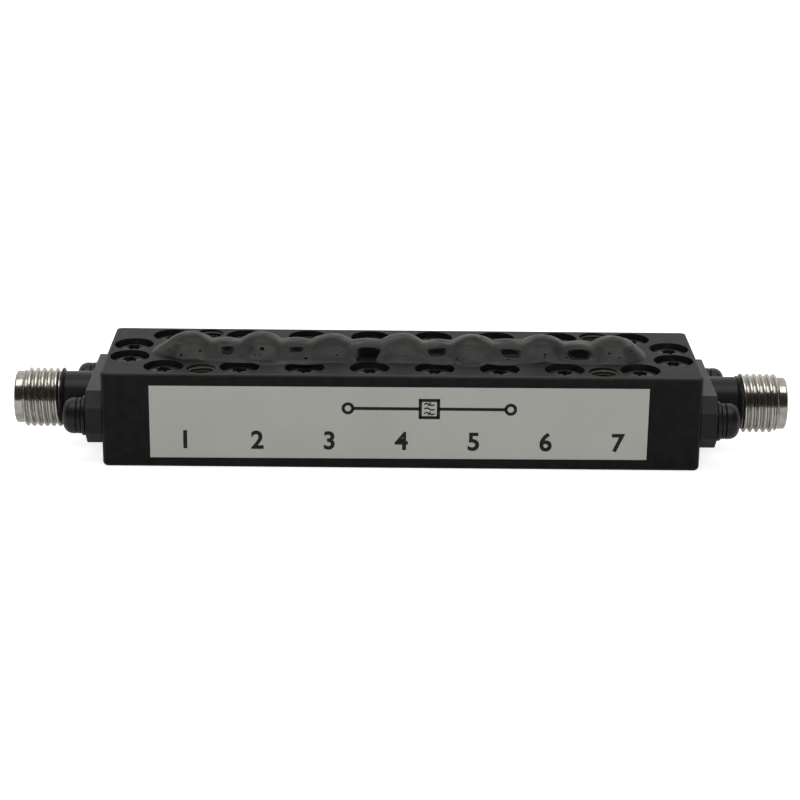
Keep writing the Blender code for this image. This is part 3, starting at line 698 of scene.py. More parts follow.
# %% The lid screws
RECESS_TIP = 0.875 * MM
RECESS_WAIST = 0.635 * MM
RECESS_DEPTH = 0.85 * MM
RECESS_POINTS = 72
RECESS_FLARE = 0.05 * MM
RECESS_TAPER = 0.04 * MM
HEAD_DOME = 0.22 * MM
HEAD_EDGE_ROUND = 0.3 * MM
HEAD_STEPS = 6
RECESS_TURN_STEP = radians(47)


def recess_prism(seat):
    """A six-lobed plug that widens a little at the top, as a pressed recess does."""
    bm = bmesh.new()
    middle = (RECESS_TIP + RECESS_WAIST) / 2
    swing = (RECESS_TIP - RECESS_WAIST) / 2
    turns = [2 * pi * i / RECESS_POINTS for i in range(RECESS_POINTS)]
    rings = []
    for height, wider in ((seat - RECESS_DEPTH, -RECESS_TAPER), (seat - RECESS_FLARE, 0.0),
                          (seat + RECESS_FLARE, 2 * RECESS_FLARE)):
        radii = [middle + swing * cos(6 * t) + wider for t in turns]
        rings.append([bm.verts.new((r * cos(t), r * sin(t), height)) for r, t in zip(radii, turns)])
    bridge(bm, rings, caps=True)
    return mesh_of(bm, "recess")


def screw_master(name, outline, seat):
    """A turned screw with its recess cut."""
    return sharpened(carved(turned(name, outline, 64), (CUT, recess_prism(seat))))


def pan_outline(length):
    """A pan head seated at z = 0, from the middle of its top to the shank's tip."""
    shoulder = HEAD_RADIUS - HEAD_EDGE_ROUND
    steps = [i / HEAD_STEPS for i in range(HEAD_STEPS)]
    dome = [(shoulder * out, HEAD_HEIGHT - HEAD_DOME * out ** 2) for out in steps]
    edge = rounded_corner(HEAD_RADIUS, HEAD_HEIGHT - HEAD_DOME, HEAD_EDGE_ROUND, HEAD_STEPS)
    shank = [(HEAD_RADIUS, 0.0), (SHANK_RADIUS, 0.0), (SHANK_RADIUS, -length), (0.0, -length)]
    return dome + edge + shank


def make_lid_screws():
    names = sorted(screw_boxes)
    lengths = {name: high.z - low.z - HEAD_HEIGHT for name, (low, high) in screw_boxes.items()}
    longest = max(lengths.values())
    kinds = []
    for is_long in (True, False):
        chosen = [name for name in names if (lengths[name] > longest - MM) == is_long]
        master = screw_master("lid_screw", pan_outline(lengths[chosen[0]]), HEAD_HEIGHT)
        spots = [upright(screw_places[name].x, screw_places[name].y, HEAD_SEAT,
                         RECESS_TURN_STEP * int(name[-2:])) for name in chosen]
        kinds.append(set_master("lid_screws", master, spots, screw_paint))
    finish_piece("cover_screws", merged("cover_screws", kinds), names, screw_paint)


make_lid_screws()

# %% [markdown]
# The jacks carry a real thread, 36 turns to the inch. A thread is a rule: the radius at a point
# depends only on how far along the axis it is and on its turn round the axis. So a tree of math
# nodes reads each point's place, works out where it is in the thread's period, and pulls it in
# towards the axis by the depth of the groove there. The barrel is turned first, with close rings.

# %% Geometry Nodes: a helical thread
def thread_tree():
    tree, inside, out = new_group(
        "helical_thread",
        {"Barrel": "Geometry", "Crest Radius": "Float", "Pitch": "Float", "Depth": "Float",
         "Start": "Float", "End": "Float", "Material": "Material"},
        {"Threaded": "Geometry"}, "GeometryNodeTree")
    x, y, z = split(tree.nodes.new("GeometryNodeInputPosition").outputs[0])
    turn = maths("DIVIDE", maths("ARCTAN2", y, x), 2 * pi)
    along = maths("DIVIDE", z, inside["Pitch"])
    phase = maths("FRACT", maths("SUBTRACT", along, turn))
    flank = maths("ABSOLUTE", maths("MULTIPLY_ADD", phase, 2.0, -1.0))
    cut_in = maths("MULTIPLY", ramp(flank, 0.13, 0.87, 1.0, 0.0), inside["Depth"])
    target = maths("SUBTRACT", inside["Crest Radius"], cut_in)
    share = maths("MINIMUM", maths("DIVIDE", target, hypot(x, y)), 1.0)
    spot = put(tree, "ShaderNodeCombineXYZ", X=maths("MULTIPLY", x, share),
               Y=maths("MULTIPLY", y, share), Z=z)
    chosen = maths("MULTIPLY", maths("GREATER_THAN", z, inside["Start"]),
                   maths("LESS_THAN", z, inside["End"]))
    moved = put(tree, "GeometryNodeSetPosition", Geometry=inside["Barrel"], Selection=chosen,
                Position=spot.outputs[0])
    wire(out, Threaded=dressed(tree, moved.outputs[0], inside["Material"]))
    return tree


helical_thread = thread_tree()
print("tree:", helical_thread.name)

# %% [markdown]
# The steel is passivated and stays bare from the second turn of the thread outwards. The spray
# reached the flange, the neck and the first turn, and its edge there is ragged. One material shows
# both: a mask that depends on the distance along the bar, roughened by noise, mixes the paint's
# colour, roughness and metallic value with the steel's.

# %% Material: jack steel with overspray
STEEL = (0.56, 0.545, 0.51)
STEEL_GROOVE = (0.3, 0.28, 0.24)
GROOVE_RADII = (2.85 * MM, 3.05 * MM)  # the colour is darkest below the first radius and plain steel beyond the second
PAINT_END = 36.7 * MM
PAINT_RAGGED = 0.12 * MM
PAINT_EDGE = 0.03 * MM


def jack_material():
    material, shader, place = new_material("jack_steel", STEEL, 0.25, 1.0, specular=0.23)
    x, y, z = split(place)
    reach = maths("MULTIPLY_ADD", cloud(place, 1.1, 3.0), 2 * PAINT_RAGGED, PAINT_END - PAINT_RAGGED)
    apart = maths("SUBTRACT", maths("ABSOLUTE", x), reach)
    bare = ramp(apart, -PAINT_EDGE, PAINT_EDGE)
    painted = maths("SUBTRACT", 1.0, bare)
    skin = use_group(sprayed_skin, Place=place, Roughness=0.34)
    radius = hypot(y, maths("SUBTRACT", z, JACK_AXIS))
    # the steel is darker towards the thread's roots, more so where a noise is high
    steel_cloud = cloud(place, 0.9, 4.0)
    groove_darkening = maths("MULTIPLY", ramp(radius, *GROOVE_RADII, 1.0, 0.0),
                  ramp(steel_cloud, 0.35, 0.65, 0.25, 0.75))
    steel = blend_colours(groove_darkening, STEEL, STEEL_GROOVE)
    rough = maths("MULTIPLY_ADD", bare, ramp(steel_cloud, 0.3, 0.7, 0.15, 0.25),
                  maths("MULTIPLY", painted, skin["Roughness"]))
    wire(shader, Base_Color=blend_colours(bare, BLACK, steel), Roughness=rough, Metallic=bare)
    bump(shader, maths("MULTIPLY", skin["Height"], painted), 0.006 * MM)
    return material


jack_steel = jack_material()
print("material:", jack_steel.name)

# %% The jacks' shells
FLANGE_HEIGHT = 5.8 * MM
FLANGE_LENGTH = 15.8 * MM
FLANGE_THICKNESS = 1.8 * MM
FLANGE_CHAMFER = 1.5 * MM
FLANGE_EDGE = 0.12 * MM
NECK_RADIUS = 2.83 * MM
NECK_TOP = 4.6 * MM
THREAD_RADIUS = 3.175 * MM
THREAD_PITCH = 25.4 / 36 * MM
THREAD_DEPTH = 0.37 * MM
THREAD_TOP = 9.15 * MM
THREAD_CHAMFER = 0.3 * MM
LEAD_RADIUS = 2.8 * MM
JACK_TIP = 10.0 * MM
LEAD_EDGE = 0.2 * MM
MOUTH_RADIUS = 2.325 * MM
MOUTH_FLARE = 0.15 * MM
MOUTH_FLOOR = 8.1 * MM
INSULATOR_RADIUS = 2.05 * MM
FLANGE_HOLE_RADIUS = 1.3 * MM
BARREL_SIDES = 128
RINGS_A_TURN = 22
BARREL_SINK = 0.3 * MM  # how far the barrel reaches into the flange
END_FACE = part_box("housing")[1].x


def barrel_outline():
    rings = round((THREAD_TOP - NECK_TOP) / THREAD_PITCH * RINGS_A_TURN)
    thread = []
    for i in range(rings + 1):
        height = THREAD_TOP - i * (THREAD_TOP - NECK_TOP) / rings
        chamfer = min(1.0, (height - NECK_TOP) / THREAD_CHAMFER, (THREAD_TOP - height) / THREAD_CHAMFER)
        thread.append((LEAD_RADIUS + (THREAD_RADIUS - LEAD_RADIUS) * chamfer, height))
    tip = rounded_corner(LEAD_RADIUS, JACK_TIP, LEAD_EDGE, 4)
    foot = FLANGE_THICKNESS - BARREL_SINK
    neck = [(NECK_RADIUS, NECK_TOP - 0.001 * MM), (NECK_RADIUS, foot), (0.0, foot)]
    return [(0.0, JACK_TIP)] + tip + thread + neck


def flange_block():
    """The two-hole flange, with its long sides along Y and its corners cut at 45 degrees."""
    bm = bmesh.new()
    size = Matrix.Diagonal((FLANGE_HEIGHT, FLANGE_LENGTH, FLANGE_THICKNESS, 1.0))
    bmesh.ops.create_cube(bm, size=1.0, matrix=Matrix.Translation((0, 0, FLANGE_THICKNESS / 2)) @ size)
    upright_edges = [e for e in bm.edges if abs(e.verts[0].co.z - e.verts[1].co.z) > MM]
    bmesh.ops.bevel(bm, geom=upright_edges, offset=FLANGE_CHAMFER, segments=1, affect="EDGES")
    rim = [e for e in bm.edges if min(v.co.z for v in e.verts) > FLANGE_THICKNESS / 2]
    bmesh.ops.bevel(bm, geom=rim, offset=FLANGE_EDGE, segments=4, profile=0.5, affect="EDGES")
    return mesh_of(bm, "flange", MILLED_BELOW)


def jack_shell_mesh():
    barrel = grown(turned("barrel", barrel_outline(), BARREL_SIDES), helical_thread,
                   Crest_Radius=THREAD_RADIUS, Pitch=THREAD_PITCH, Depth=THREAD_DEPTH,
                   Start=NECK_TOP + 0.01 * MM, End=THREAD_TOP - 0.01 * MM, Material=jack_steel)
    bore = [(0.0, JACK_TIP + OVERRUN), (MOUTH_RADIUS + MOUTH_FLARE, JACK_TIP + OVERRUN),
            (MOUTH_RADIUS + MOUTH_FLARE, JACK_TIP), (MOUTH_RADIUS, JACK_TIP - MOUTH_FLARE),
            (MOUTH_RADIUS, MOUTH_FLOOR), (INSULATOR_RADIUS, MOUTH_FLOOR),
            (INSULATOR_RADIUS, -OVERRUN), (0.0, -OVERRUN)]
    holes = drills("flange_holes", uprights([(0.0, -FLANGE_SCREW_Y), (0.0, FLANGE_SCREW_Y)]),
                   plug(FLANGE_HOLE_RADIUS, -OVERRUN, FLANGE_THICKNESS + OVERRUN))
    return carved(flange_block(), (JOIN, barrel), (CUT, turned("bore", bore, 96)), (CUT, holes))


def jack_place(side):
    return Matrix.Translation((side * END_FACE, 0.0, JACK_AXIS)) @ Matrix.Rotation(side * pi / 2, 4, "Y")


shell_mesh = jack_shell_mesh()
for word, side in SIDES.items():
    placed = shell_mesh.copy()
    placed.transform(jack_place(side))
    finish_piece(f"{word}_jack", flat_faced(placed, 32), [f"{word}_jack_shell"], jack_steel)

# %% [markdown]
# Inside each jack a white PTFE sleeve carries a gilded socket, whose mouth is slotted so that it
# springs round the mating pin. Both are turned. The slot is one Boolean cut.

# %% The insulators and the contacts
CONTACT_RADIUS = 0.635 * MM
SOCKET_RADIUS = 0.47 * MM
SOCKET_DEPTH = 2.2 * MM
SLOT_WIDTH = 0.2 * MM
SLOT_DEPTH = 1.6 * MM
PIN_RADIUS = 0.45 * MM
FIT = 0.03 * MM
PIN_INNER_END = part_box("right_contact")[0].x - END_FACE
TURNED_EDGE = 0.06 * MM
SOCKET_EDGE = 0.08 * MM


def ptfe_material():
    material, shader, _ = clouded_material("ptfe", ((0.74, 0.74, 0.7), (0.86, 0.86, 0.84)),
                                           (0.38, 0.55), 0.8, 3.0)
    wire(shader, Subsurface_Weight=0.1, Subsurface_Scale=0.5 * MM)
    return material


def turned_metal(name, first, second, rough):
    return clouded_material(name, (first, second), rough, 1.5, 4.0, 0.002 * MM, metallic=1.0)[0]


ptfe = ptfe_material()
gold = turned_metal("gold", (0.83, 0.6, 0.27), (0.75, 0.52, 0.22), (0.2, 0.34))
brass = turned_metal("brass", (0.68, 0.5, 0.22), (0.5, 0.35, 0.15), (0.28, 0.45))


def sleeve_mesh():
    outer = INSULATOR_RADIUS - FIT
    inner = CONTACT_RADIUS + FIT
    shoulder = MOUTH_FLOOR - TURNED_EDGE
    ring = [(inner + TURNED_EDGE, MOUTH_FLOOR), (outer - TURNED_EDGE, MOUTH_FLOOR), (outer, shoulder),
            (outer, 0.0), (inner, 0.0), (inner, shoulder)]
    return turned("insulator", ring, 72, closed=True)


def contact_mesh():
    edge = SOCKET_EDGE
    outline = [(0.0, MOUTH_FLOOR - SOCKET_DEPTH), (SOCKET_RADIUS, MOUTH_FLOOR - SOCKET_DEPTH + edge),
               (SOCKET_RADIUS, MOUTH_FLOOR - edge), (SOCKET_RADIUS + edge, MOUTH_FLOOR),
               (CONTACT_RADIUS - 0.6 * edge, MOUTH_FLOOR), (CONTACT_RADIUS, MOUTH_FLOOR - edge),
               (CONTACT_RADIUS, 0.0), (PIN_RADIUS, 0.0), (PIN_RADIUS, PIN_INNER_END + edge),
               (PIN_RADIUS - edge, PIN_INNER_END), (0.0, PIN_INNER_END)]
    bm = bmesh.new()
    middle = Matrix.Translation((0.0, 0.0, MOUTH_FLOOR - SLOT_DEPTH / 2 + OVERRUN / 2))
    shape = Matrix.Diagonal((SLOT_WIDTH, 4 * CONTACT_RADIUS, SLOT_DEPTH + OVERRUN, 1.0))
    bmesh.ops.create_cube(bm, size=1.0, matrix=middle @ shape)
    return sharpened(carved(turned("contact", outline, 48), (CUT, mesh_of(bm, "slot"))))


for word, side in SIDES.items():
    for kind, mesh, slot_name, material in (("insulator", sleeve_mesh(), "ptfe", ptfe),
                                            ("contact", contact_mesh(), "gold", gold)):
        mesh.transform(jack_place(side))
        finish_piece(f"{word}_turned_{kind}", mesh, [f"{word}_{kind}"], material)

# %% [markdown]
# Each flange is held by two pan-head screws with a flat washer and a split one under the head. The
# washers are rings of their own here: the split one is a ring with a gap, a little askew, because
# its ends spring apart. The painted stack is again one master, set on four points.

# %% The flange screws and their washers
FLAT_RADIUS = 2.1 * MM
FLAT_THICKNESS = 0.4 * MM
SPLIT_RADIUS = 1.9 * MM
SPLIT_THICKNESS = 0.55 * MM
FLANGE_HEAD_RADIUS = 1.9 * MM
FLANGE_HEAD_HEIGHT = 1.45 * MM
FLANGE_HEAD_ROUND = 1.05 * MM
FLANGE_SCREW_LENGTH = 6.0 * MM
WASHER_HOLE = 1.1 * MM
FLAT_EDGE = 0.15 * MM
SPLIT_EDGE = 0.12 * MM
SPLIT_GAP = radians(12)
SPLIT_LIFT = 0.03 * MM
SPLIT_STEPS = 60
FLANGE_HEAD_EDGE = 0.06 * MM


def flat_washer():
    upper = rounded_corner(FLAT_RADIUS, FLAT_THICKNESS, FLAT_EDGE, 4)
    lower = [(r, FLAT_THICKNESS - h) for r, h in reversed(upper)]
    outline = [(WASHER_HOLE, FLAT_THICKNESS)] + upper + lower + [(WASHER_HOLE, 0.0)]
    return turned("washer", outline, 64, closed=True)


def split_washer():
    """A ring with a slanted gap, whose section is swept from one end of the gap to the other."""
    bm = bmesh.new()
    low, high = FLAT_THICKNESS, FLAT_THICKNESS + SPLIT_THICKNESS
    flat = SPLIT_RADIUS - SPLIT_EDGE
    section = [(WASHER_HOLE, high), (flat, high), (SPLIT_RADIUS, high - SPLIT_EDGE),
               (SPLIT_RADIUS, low + SPLIT_EDGE), (flat, low), (WASHER_HOLE, low)]
    rings = []
    for i in range(SPLIT_STEPS + 1):
        turn = SPLIT_GAP / 2 + (2 * pi - SPLIT_GAP) * i / SPLIT_STEPS
        lift = SPLIT_LIFT * (i / SPLIT_STEPS - 0.5)
        rings.append([bm.verts.new((r * cos(turn), r * sin(turn), h + lift)) for r, h in section])
    bridge(bm, rings, caps=True)
    return mesh_of(bm, "washer")


def flange_screw_master():
    seat = FLAT_THICKNESS + SPLIT_THICKNESS
    top = seat + FLANGE_HEAD_HEIGHT
    tip = seat - FLANGE_SCREW_LENGTH
    shoulder = FLANGE_HEAD_RADIUS - FLANGE_HEAD_ROUND
    outline = [(shoulder * i / 4, top) for i in range(4)]
    outline += rounded_corner(FLANGE_HEAD_RADIUS, top, FLANGE_HEAD_ROUND, 10)
    outline += [(FLANGE_HEAD_RADIUS, seat + FLANGE_HEAD_EDGE),
                (FLANGE_HEAD_RADIUS - FLANGE_HEAD_EDGE, seat),
                (SHANK_RADIUS, seat), (SHANK_RADIUS, tip), (0.0, tip)]
    screw = screw_master("flange_screw", outline, top)
    return merged("flange_screw", [screw, flat_washer(), split_washer()])


def make_flange_screws():
    spots = []
    names = []
    for word, side in SIDES.items():
        for place, across in (("front", -1), ("rear", 1)):
            names.append(f"{word}_flange_screw_{place}")
            where, turn, size = sideways(side, across * FLANGE_SCREW_Y, 0.7 * len(names))
            where.x = side * (END_FACE + FLANGE_THICKNESS)
            spots.append((where, turn, size))
    mesh = set_master("flange_screws", flange_screw_master(), spots, screw_paint)
    finish_piece("flange_screws", mesh, names, screw_paint)


make_flange_screws()

# %% [markdown]
# When the filter was tuned, a two-part sealant was run along the lid over the tuning screws and
# their nuts. It slumped before it set: a hump over each tuning screw, a lower one over each
# coupling screw, skirts that run out to a thin lip, and a few steep walls where it hangs on a nut.
# Sculpting it by hand would do. A height map is easier to read and to change: a close grid is
# raised by a sum of simple swells, its part below the lid is cut off, and the foot is filled.

# %% The height of the sealant
HUMPS = [2.0, 2.0, 1.88, 1.95, 1.95, 1.95, 1.88]  # over the tuning screws, in mm above the lid
SADDLES = [1.26, 1.27, 1.27, 1.27, 1.32, 1.24]  # over the coupling screws
HUMP_CURVE = 3.0  # radius of a hump's crest, seen from the front
SADDLE_CURVE = 7.0
CREST_BLEND = 0.06
FRONT_REACH = [(-30.0, 3.3), (-22.7, 3.35), (-15.0, 3.6), (-7.5, 4.05), (0.0, 4.0), (7.5, 3.8),
               (15.0, 3.5), (22.5, 3.8), (30.0, 3.8)]
REAR_REACH = [(-30.0, 3.2), (-22.7, 3.4), (-12.0, 3.8), (0.0, 3.5), (12.0, 3.8), (22.5, 3.4),
              (30.0, 3.2)]
END_REACH = (4.1, 3.4)  # how far it runs on past the outer screws, left and right
SKIRT_BEND = 0.62  # where the bell of its section is half as high, as a share of the reach
SKIRT_POWER = 3.2
# how it drapes over the nuts: height at the nut's corner, the corner's radius, slopes in and out
TUNING_DRAPE = (1.24, 2.1, 0.34, 0.85)
COUPLING_DRAPE = (0.94, 1.75, 0.12, 0.8)
DRAPE_BLEND = 0.05
# hollows in front of the coupling nuts: middle, width, share of the height that is lost, end
DROPS = [(-18.5, 0.85, 0.5, 2.9), (-11.3, 1.0, 0.45, 2.5), (-3.65, 1.75, 1.15, 9.0),
         (3.62, 1.45, 0.6, 2.9), (11.75, 1.65, 0.55, 3.1), (19.05, 1.95, 0.75, 3.3)]
DROP_START = 1.73
# where it ran over the lid: middle, half sizes
SPILLS = [(-10.4, -3.5, 2.5, 1.2), (4.3, -3.4, 1.9, 1.0), (10.9, -3.4, 2.1, 1.0), (-17.0, -3.3, 4.2, 1.0),
          (7.3, -3.8, 1.6, 1.25), (-13.7, -3.9, 2.1, 1.3)]
SPILL_DEPTH = 0.07
LIP = 0.06


def smooth_step(value, low, high):
    t = np.clip((value - low) / (high - low), 0.0, 1.0)
    return t * t * (3 - 2 * t)


def smooth_max(heights, blend):
    """The largest of several heights, with the corners between them rounded."""
    heights = np.stack(heights)
    top = heights.max(axis=0)
    return top + blend * np.log(np.exp((heights - top) / blend).sum(axis=0))


def sealant_height(x, y):
    """Millimetres above the lid at places in millimetres, and below nought where there is none."""
    tuning = [p.x / MM for p in tuning_places]
    coupling = [p.x / MM for p in coupling_places]
    within = np.clip(x, tuning[0], tuning[-1])
    arcs = [tall - (within - at) ** 2 / (2 * HUMP_CURVE) for at, tall in zip(tuning, HUMPS)]
    arcs += [tall - (within - at) ** 2 / (2 * SADDLE_CURVE) for at, tall in zip(coupling, SADDLES)]
    crest = smooth_max(arcs, CREST_BLEND)
    reach = np.where(y < 0, np.interp(x, *zip(*FRONT_REACH)), np.interp(x, *zip(*REAR_REACH)))
    away = np.hypot(y / reach, (x - within) / np.where(x < 0, *END_REACH))
    bell = 1 / (1 + (away / SKIRT_BEND) ** SKIRT_POWER)
    foot = 1 / (1 + SKIRT_BEND ** -SKIRT_POWER)
    heights = [crest * (bell - foot * away ** 4)]
    for places, (tall, corner, inward, outward) in ((tuning, TUNING_DRAPE), (coupling, COUPLING_DRAPE)):
        for at in places:
            beyond = np.hypot(x - at, y) - corner
            heights.append(tall - np.where(beyond < 0, inward, outward) * beyond)
    height = smooth_max(heights, DRAPE_BLEND)
    for middle, width, share, end in DROPS:
        aside = np.abs(x - middle + 0.15 * np.sin(2.3 * y + middle))
        beside = 1 - smooth_step(aside, width / 2 - 0.35, width / 2 + 0.45)
        past = smooth_step(-y, DROP_START - 0.08, DROP_START + 0.06) * (1 - smooth_step(-y, 2.0, end))
        height = height - share * beside * past * np.maximum(height + 0.2, 0.0)
    for middle, y0, half_x, half_y in SPILLS:
        away = ((x - middle) / half_x) ** 2 + ((y - y0) / half_y) ** 2
        height = np.maximum(height, SPILL_DEPTH * np.clip(4 * (1 - away), -1.0, 1.0))
    return height


print("height over the middle hump:", round(float(sealant_height(np.zeros(1), np.zeros(1))[0]), 2), "mm")

# %% The sealant's mesh
GRID_X = 0.12
GRID_END = 27.2
ROW_STEPS = [(-5.9, -2.3, 0.12), (-2.3, -1.3, 0.05), (-1.3, 4.7, 0.12)]
# pinholes where bubbles burst: place in mm, radius in mm
PINHOLES = [(-21.5, -2.5, 0.15), (-23.5, -3.0, 0.15), (-24.8, -2.0, 0.11), (-14.9, -2.4, 0.26),
            (-15.6, -3.0, 0.1), (-15.1, -3.0, 0.09), (-10.2, -3.3, 0.2), (-6.6, -2.6, 0.09),
            (-6.9, -3.0, 0.12), (0.18, -3.0, 0.1), (0.6, -3.0, 0.1), (2.1, -3.4, 0.1),
            (5.8, -3.2, 0.14), (8.5, -0.4, 0.1), (11.3, -3.1, 0.14), (15.2, -2.8, 0.14),
            (15.1, -3.05, 0.1), (16.6, -2.8, 0.1), (17.5, -2.6, 0.15), (20.3, -2.2, 0.12),
            (22.1, -2.5, 0.15), (23.1, -3.0, 0.12), (24.5, -1.8, 0.13)]
BUBBLE_SINK = 0.35  # how deep a bubble's middle lies, as a share of its radius
SEALANT_SMOOTH = 60


def grid_rows():
    rows = [ROW_STEPS[0][0]]
    for _, end, step in ROW_STEPS:
        count = round((end - rows[-1]) / step)
        rows += [rows[-1] + (end - rows[-1]) * i / count for i in range(1, count + 1)]
    return rows


def ripple(x, y):
    """Uneven flow: broad swells, small ones and a few hollows."""
    spot = Vector((x, y, 0.0))
    hollow = min(0.0, noise.noise(spot / 3.0 + Vector((7.0, 0.0, 0.0))))
    return 0.1 * noise.noise(spot / 1.9) + 0.03 * noise.noise(spot / 0.8) + 0.09 * hollow


def settled_height(x, y):
    """The height with its ripple and the rounded lip at its edge."""
    height = sealant_height(x, y)
    uneven = np.vectorize(ripple)(x, y) * (0.25 + 0.75 * np.clip(height * 2.0, 0.0, 1.0))
    height = height + uneven
    lip = LIP * np.sqrt(np.clip(height / 0.12, 0.0, 1.0))
    ceiling = (cad_high.z - LID_TOP) / MM - 0.01
    return np.minimum(np.where(height > 0, height + lip, height * 2), ceiling)


def sealant_surface():
    count = round(2 * GRID_END / GRID_X)
    columns = [-GRID_END + 2 * GRID_END * i / count for i in range(count + 1)]
    x, y = np.meshgrid(columns, grid_rows())
    places = np.stack([x * MM, y * MM, LID_TOP + settled_height(x, y) * MM], axis=-1)
    bm = bmesh.new()
    bridge(bm, [[bm.verts.new(place) for place in row] for row in places], wrap=False)
    return bm


def cut_at_lid(bm):
    """Keeps what stands above the lid and fills its foot, so that the sealant is a closed body."""
    everything = bm.verts[:] + bm.edges[:] + bm.faces[:]
    bmesh.ops.bisect_plane(bm, geom=everything, dist=1e-9, plane_co=(0.0, 0.0, LID_TOP + 0.002 * MM),
                           plane_no=(0.0, 0.0, 1.0), clear_inner=True)
    for vertex in [v for v in bm.verts if not v.link_faces]:
        bm.verts.remove(vertex)
    rim = [edge for edge in bm.edges if edge.is_boundary]
    bmesh.ops.triangle_fill(bm, edges=rim, use_beauty=True)


def sealant_mesh():
    bm = sealant_surface()
    cut_at_lid(bm)
    body = mesh_of(bm, "sealant", SEALANT_SMOOTH)
    spots = []
    for x, y, radius in PINHOLES:
        z = float(settled_height(np.array([x]), np.array([y]))[0]) - BUBBLE_SINK * radius
        spots.append((Vector((x * MM, y * MM, LID_TOP + z * MM)), (0.0, 0.0, 0.0), radius))
    bm = bmesh.new()
    bmesh.ops.create_icosphere(bm, subdivisions=2, radius=1.0)
    bubbles = set_master("pinholes", mesh_of(bm, "bubble"), spots, size=MM)
    mesh = carved(body, (CUT, bubbles))
    mesh.shade_smooth()
    return sharpened(mesh, SEALANT_SMOOTH)


def sealant_material():
    material, shader, place = new_material("sealant", BLACK, 0.38, specular=0.24)
    skin = use_group(sprayed_skin, Place=place, Flow_Size=1.6, Grain_Size=0.25, Roughness=0.36,
                     Roughness_Swing=0.12)
    colour = blend_colours(ramp(cloud(place, 0.45, 5.0, 0.6), 0.38, 0.6), (0.0055, 0.0064, 0.006),
                           (0.0145, 0.0148, 0.0132))
    specks = use_group(dust_specks, Place=place, Spacing=1.1, Speck=0.035, Share=0.25)
    colour = blend_colours(specks["Mask"], colour, (0.07, 0.065, 0.06))
    # painted shade: the sealant's near-vertical walls are coloured almost black, and made rougher
    upward = split(place.node.outputs["Normal"])[2]
    steep_painted_shade = ramp(upward, 0.2, 0.5, 1.0, 0.0)
    wire(shader, Base_Color=blend_colours(steep_painted_shade, colour, (0.0025, 0.0025, 0.0024)),
         Roughness=maths("MINIMUM", maths("MULTIPLY_ADD", steep_painted_shade, 0.4, skin["Roughness"]), 1.0))
    bump(shader, skin["Height"], 0.012 * MM)
    return material


finish_piece("sealant_ridge", sealant_mesh(), ["tuning_sealant"], sealant_material())

# %% [markdown]
# The label is a strip of pale film, laid on by hand a touch out of level. Its print is generic: the drawing
# symbol of a filter between two jacks, and plain numbers under the seven tuned posts. Film and ink are thin
# solids, so they keep their edges when the model is exported.

# %% Label film
LABEL_CORNERS = [(-26.43, 1.16), (25.85, 1.33), (25.87, 9.2), (-26.45, 9.08)]  # x and z in mm
LABEL_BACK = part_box("label")[1].y
LABEL_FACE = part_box("label")[0].y + 0.012 * MM
FILM_COLUMNS, FILM_ROWS = 120, 18
FILM_WAVE = 0.006 * MM
FILM_EDGE = 0.01 * MM  # how far its rim is turned back


def film_tone(fibre, place):
    """Broad clouds with a little of the fibre."""
    return ramp(maths("MULTIPLY_ADD", fibre, 0.25, cloud(place, 0.12, 3.0)), 0.35, 0.9)


def film_point(u, v):
    bottom_left, bottom_right, top_right, top_left = [Vector(corner) for corner in LABEL_CORNERS]
    return bottom_left.lerp(bottom_right, u).lerp(top_left.lerp(top_right, u), v)


def film_sheet(bm, depth, is_face):
    """A grid of vertices over the label. Its face is wavy, with a rim that is turned back."""
    sheet = []
    for i in range(FILM_COLUMNS + 1):
        line = []
        for j in range(FILM_ROWS + 1):
            spot = film_point(i / FILM_COLUMNS, j / FILM_ROWS)
            wave = FILM_WAVE * (noise.noise(Vector((spot.x / 6, spot.y / 4, 2.0))) + 0.5)
            if i in (0, FILM_COLUMNS) or j in (0, FILM_ROWS):
                wave += FILM_EDGE
            line.append(bm.verts.new((spot.x * MM, depth + is_face * wave, spot.y * MM)))
        sheet.append(line)
    return sheet


def film_mesh():
    bm = bmesh.new()
    sheets = [film_sheet(bm, LABEL_FACE, True), film_sheet(bm, LABEL_BACK, False)]
    for sheet in sheets:
        bridge(bm, sheet, wrap=False)
    columns, rows = range(FILM_COLUMNS), range(FILM_ROWS)
    rim = [(i, 0) for i in columns] + [(FILM_COLUMNS, j) for j in rows]
    rim += [(FILM_COLUMNS - i, FILM_ROWS) for i in columns] + [(0, FILM_ROWS - j) for j in rows]
    bridge(bm, [[sheet[i][j] for i, j in rim] for sheet in sheets])
    return mesh_of(bm, "label_strip", 40)


film = clouded_material("label_film", ((0.375, 0.38, 0.35), (0.41, 0.413, 0.382)), (0.45, 0.6), 6.0, 2.0,
                        0.003 * MM, film_tone)[0]
finish_piece("label_strip", film_mesh(), ["label"], film)

# %% Label print
INK_THICKNESS = 0.006 * MM
INK_FACE = LABEL_FACE - INK_THICKNESS
STROKE = 0.34  # millimetres
DIGIT_HEIGHT = 2.0
DIGIT_LINE = 2.28  # height of the numbers' foot above the table, in mm
SYMBOL_MIDDLE = 6.8
SYMBOL_LEFT, SYMBOL_RIGHT = -5.65, 11.4
BOX_HALF = 0.95
PORT_RADIUS = 0.5
FONT_SIZE = 1.37  # of the built-in font, for digits one high
WAVE_STROKE = 0.16
STRIKE_STROKE = 0.12


def ink_stroke(bm, points, width=STROKE):
    """A flat stroke of even width along points (x, z) in millimetres, on the label's face."""
    path = [Vector(point) for point in points]
    rings = []
    for i, point in enumerate(path):
        along = (path[min(i + 1, len(path) - 1)] - path[max(i - 1, 0)]).normalized()
        normal = Vector((-along.y, along.x)) * width / 2
        front, back = INK_FACE, LABEL_FACE + 0.02 * MM
        corners = ((point + normal, front), (point - normal, front), (point - normal, back),
                   (point + normal, back))
        rings.append([bm.verts.new((p.x * MM, depth, p.y * MM)) for p, depth in corners])
    bridge(bm, rings, caps=True)


def circle_points(x, z, radius, count=28):
    return [(x + radius * cos(2 * pi * i / count), z + radius * sin(2 * pi * i / count))
            for i in range(count + 1)]


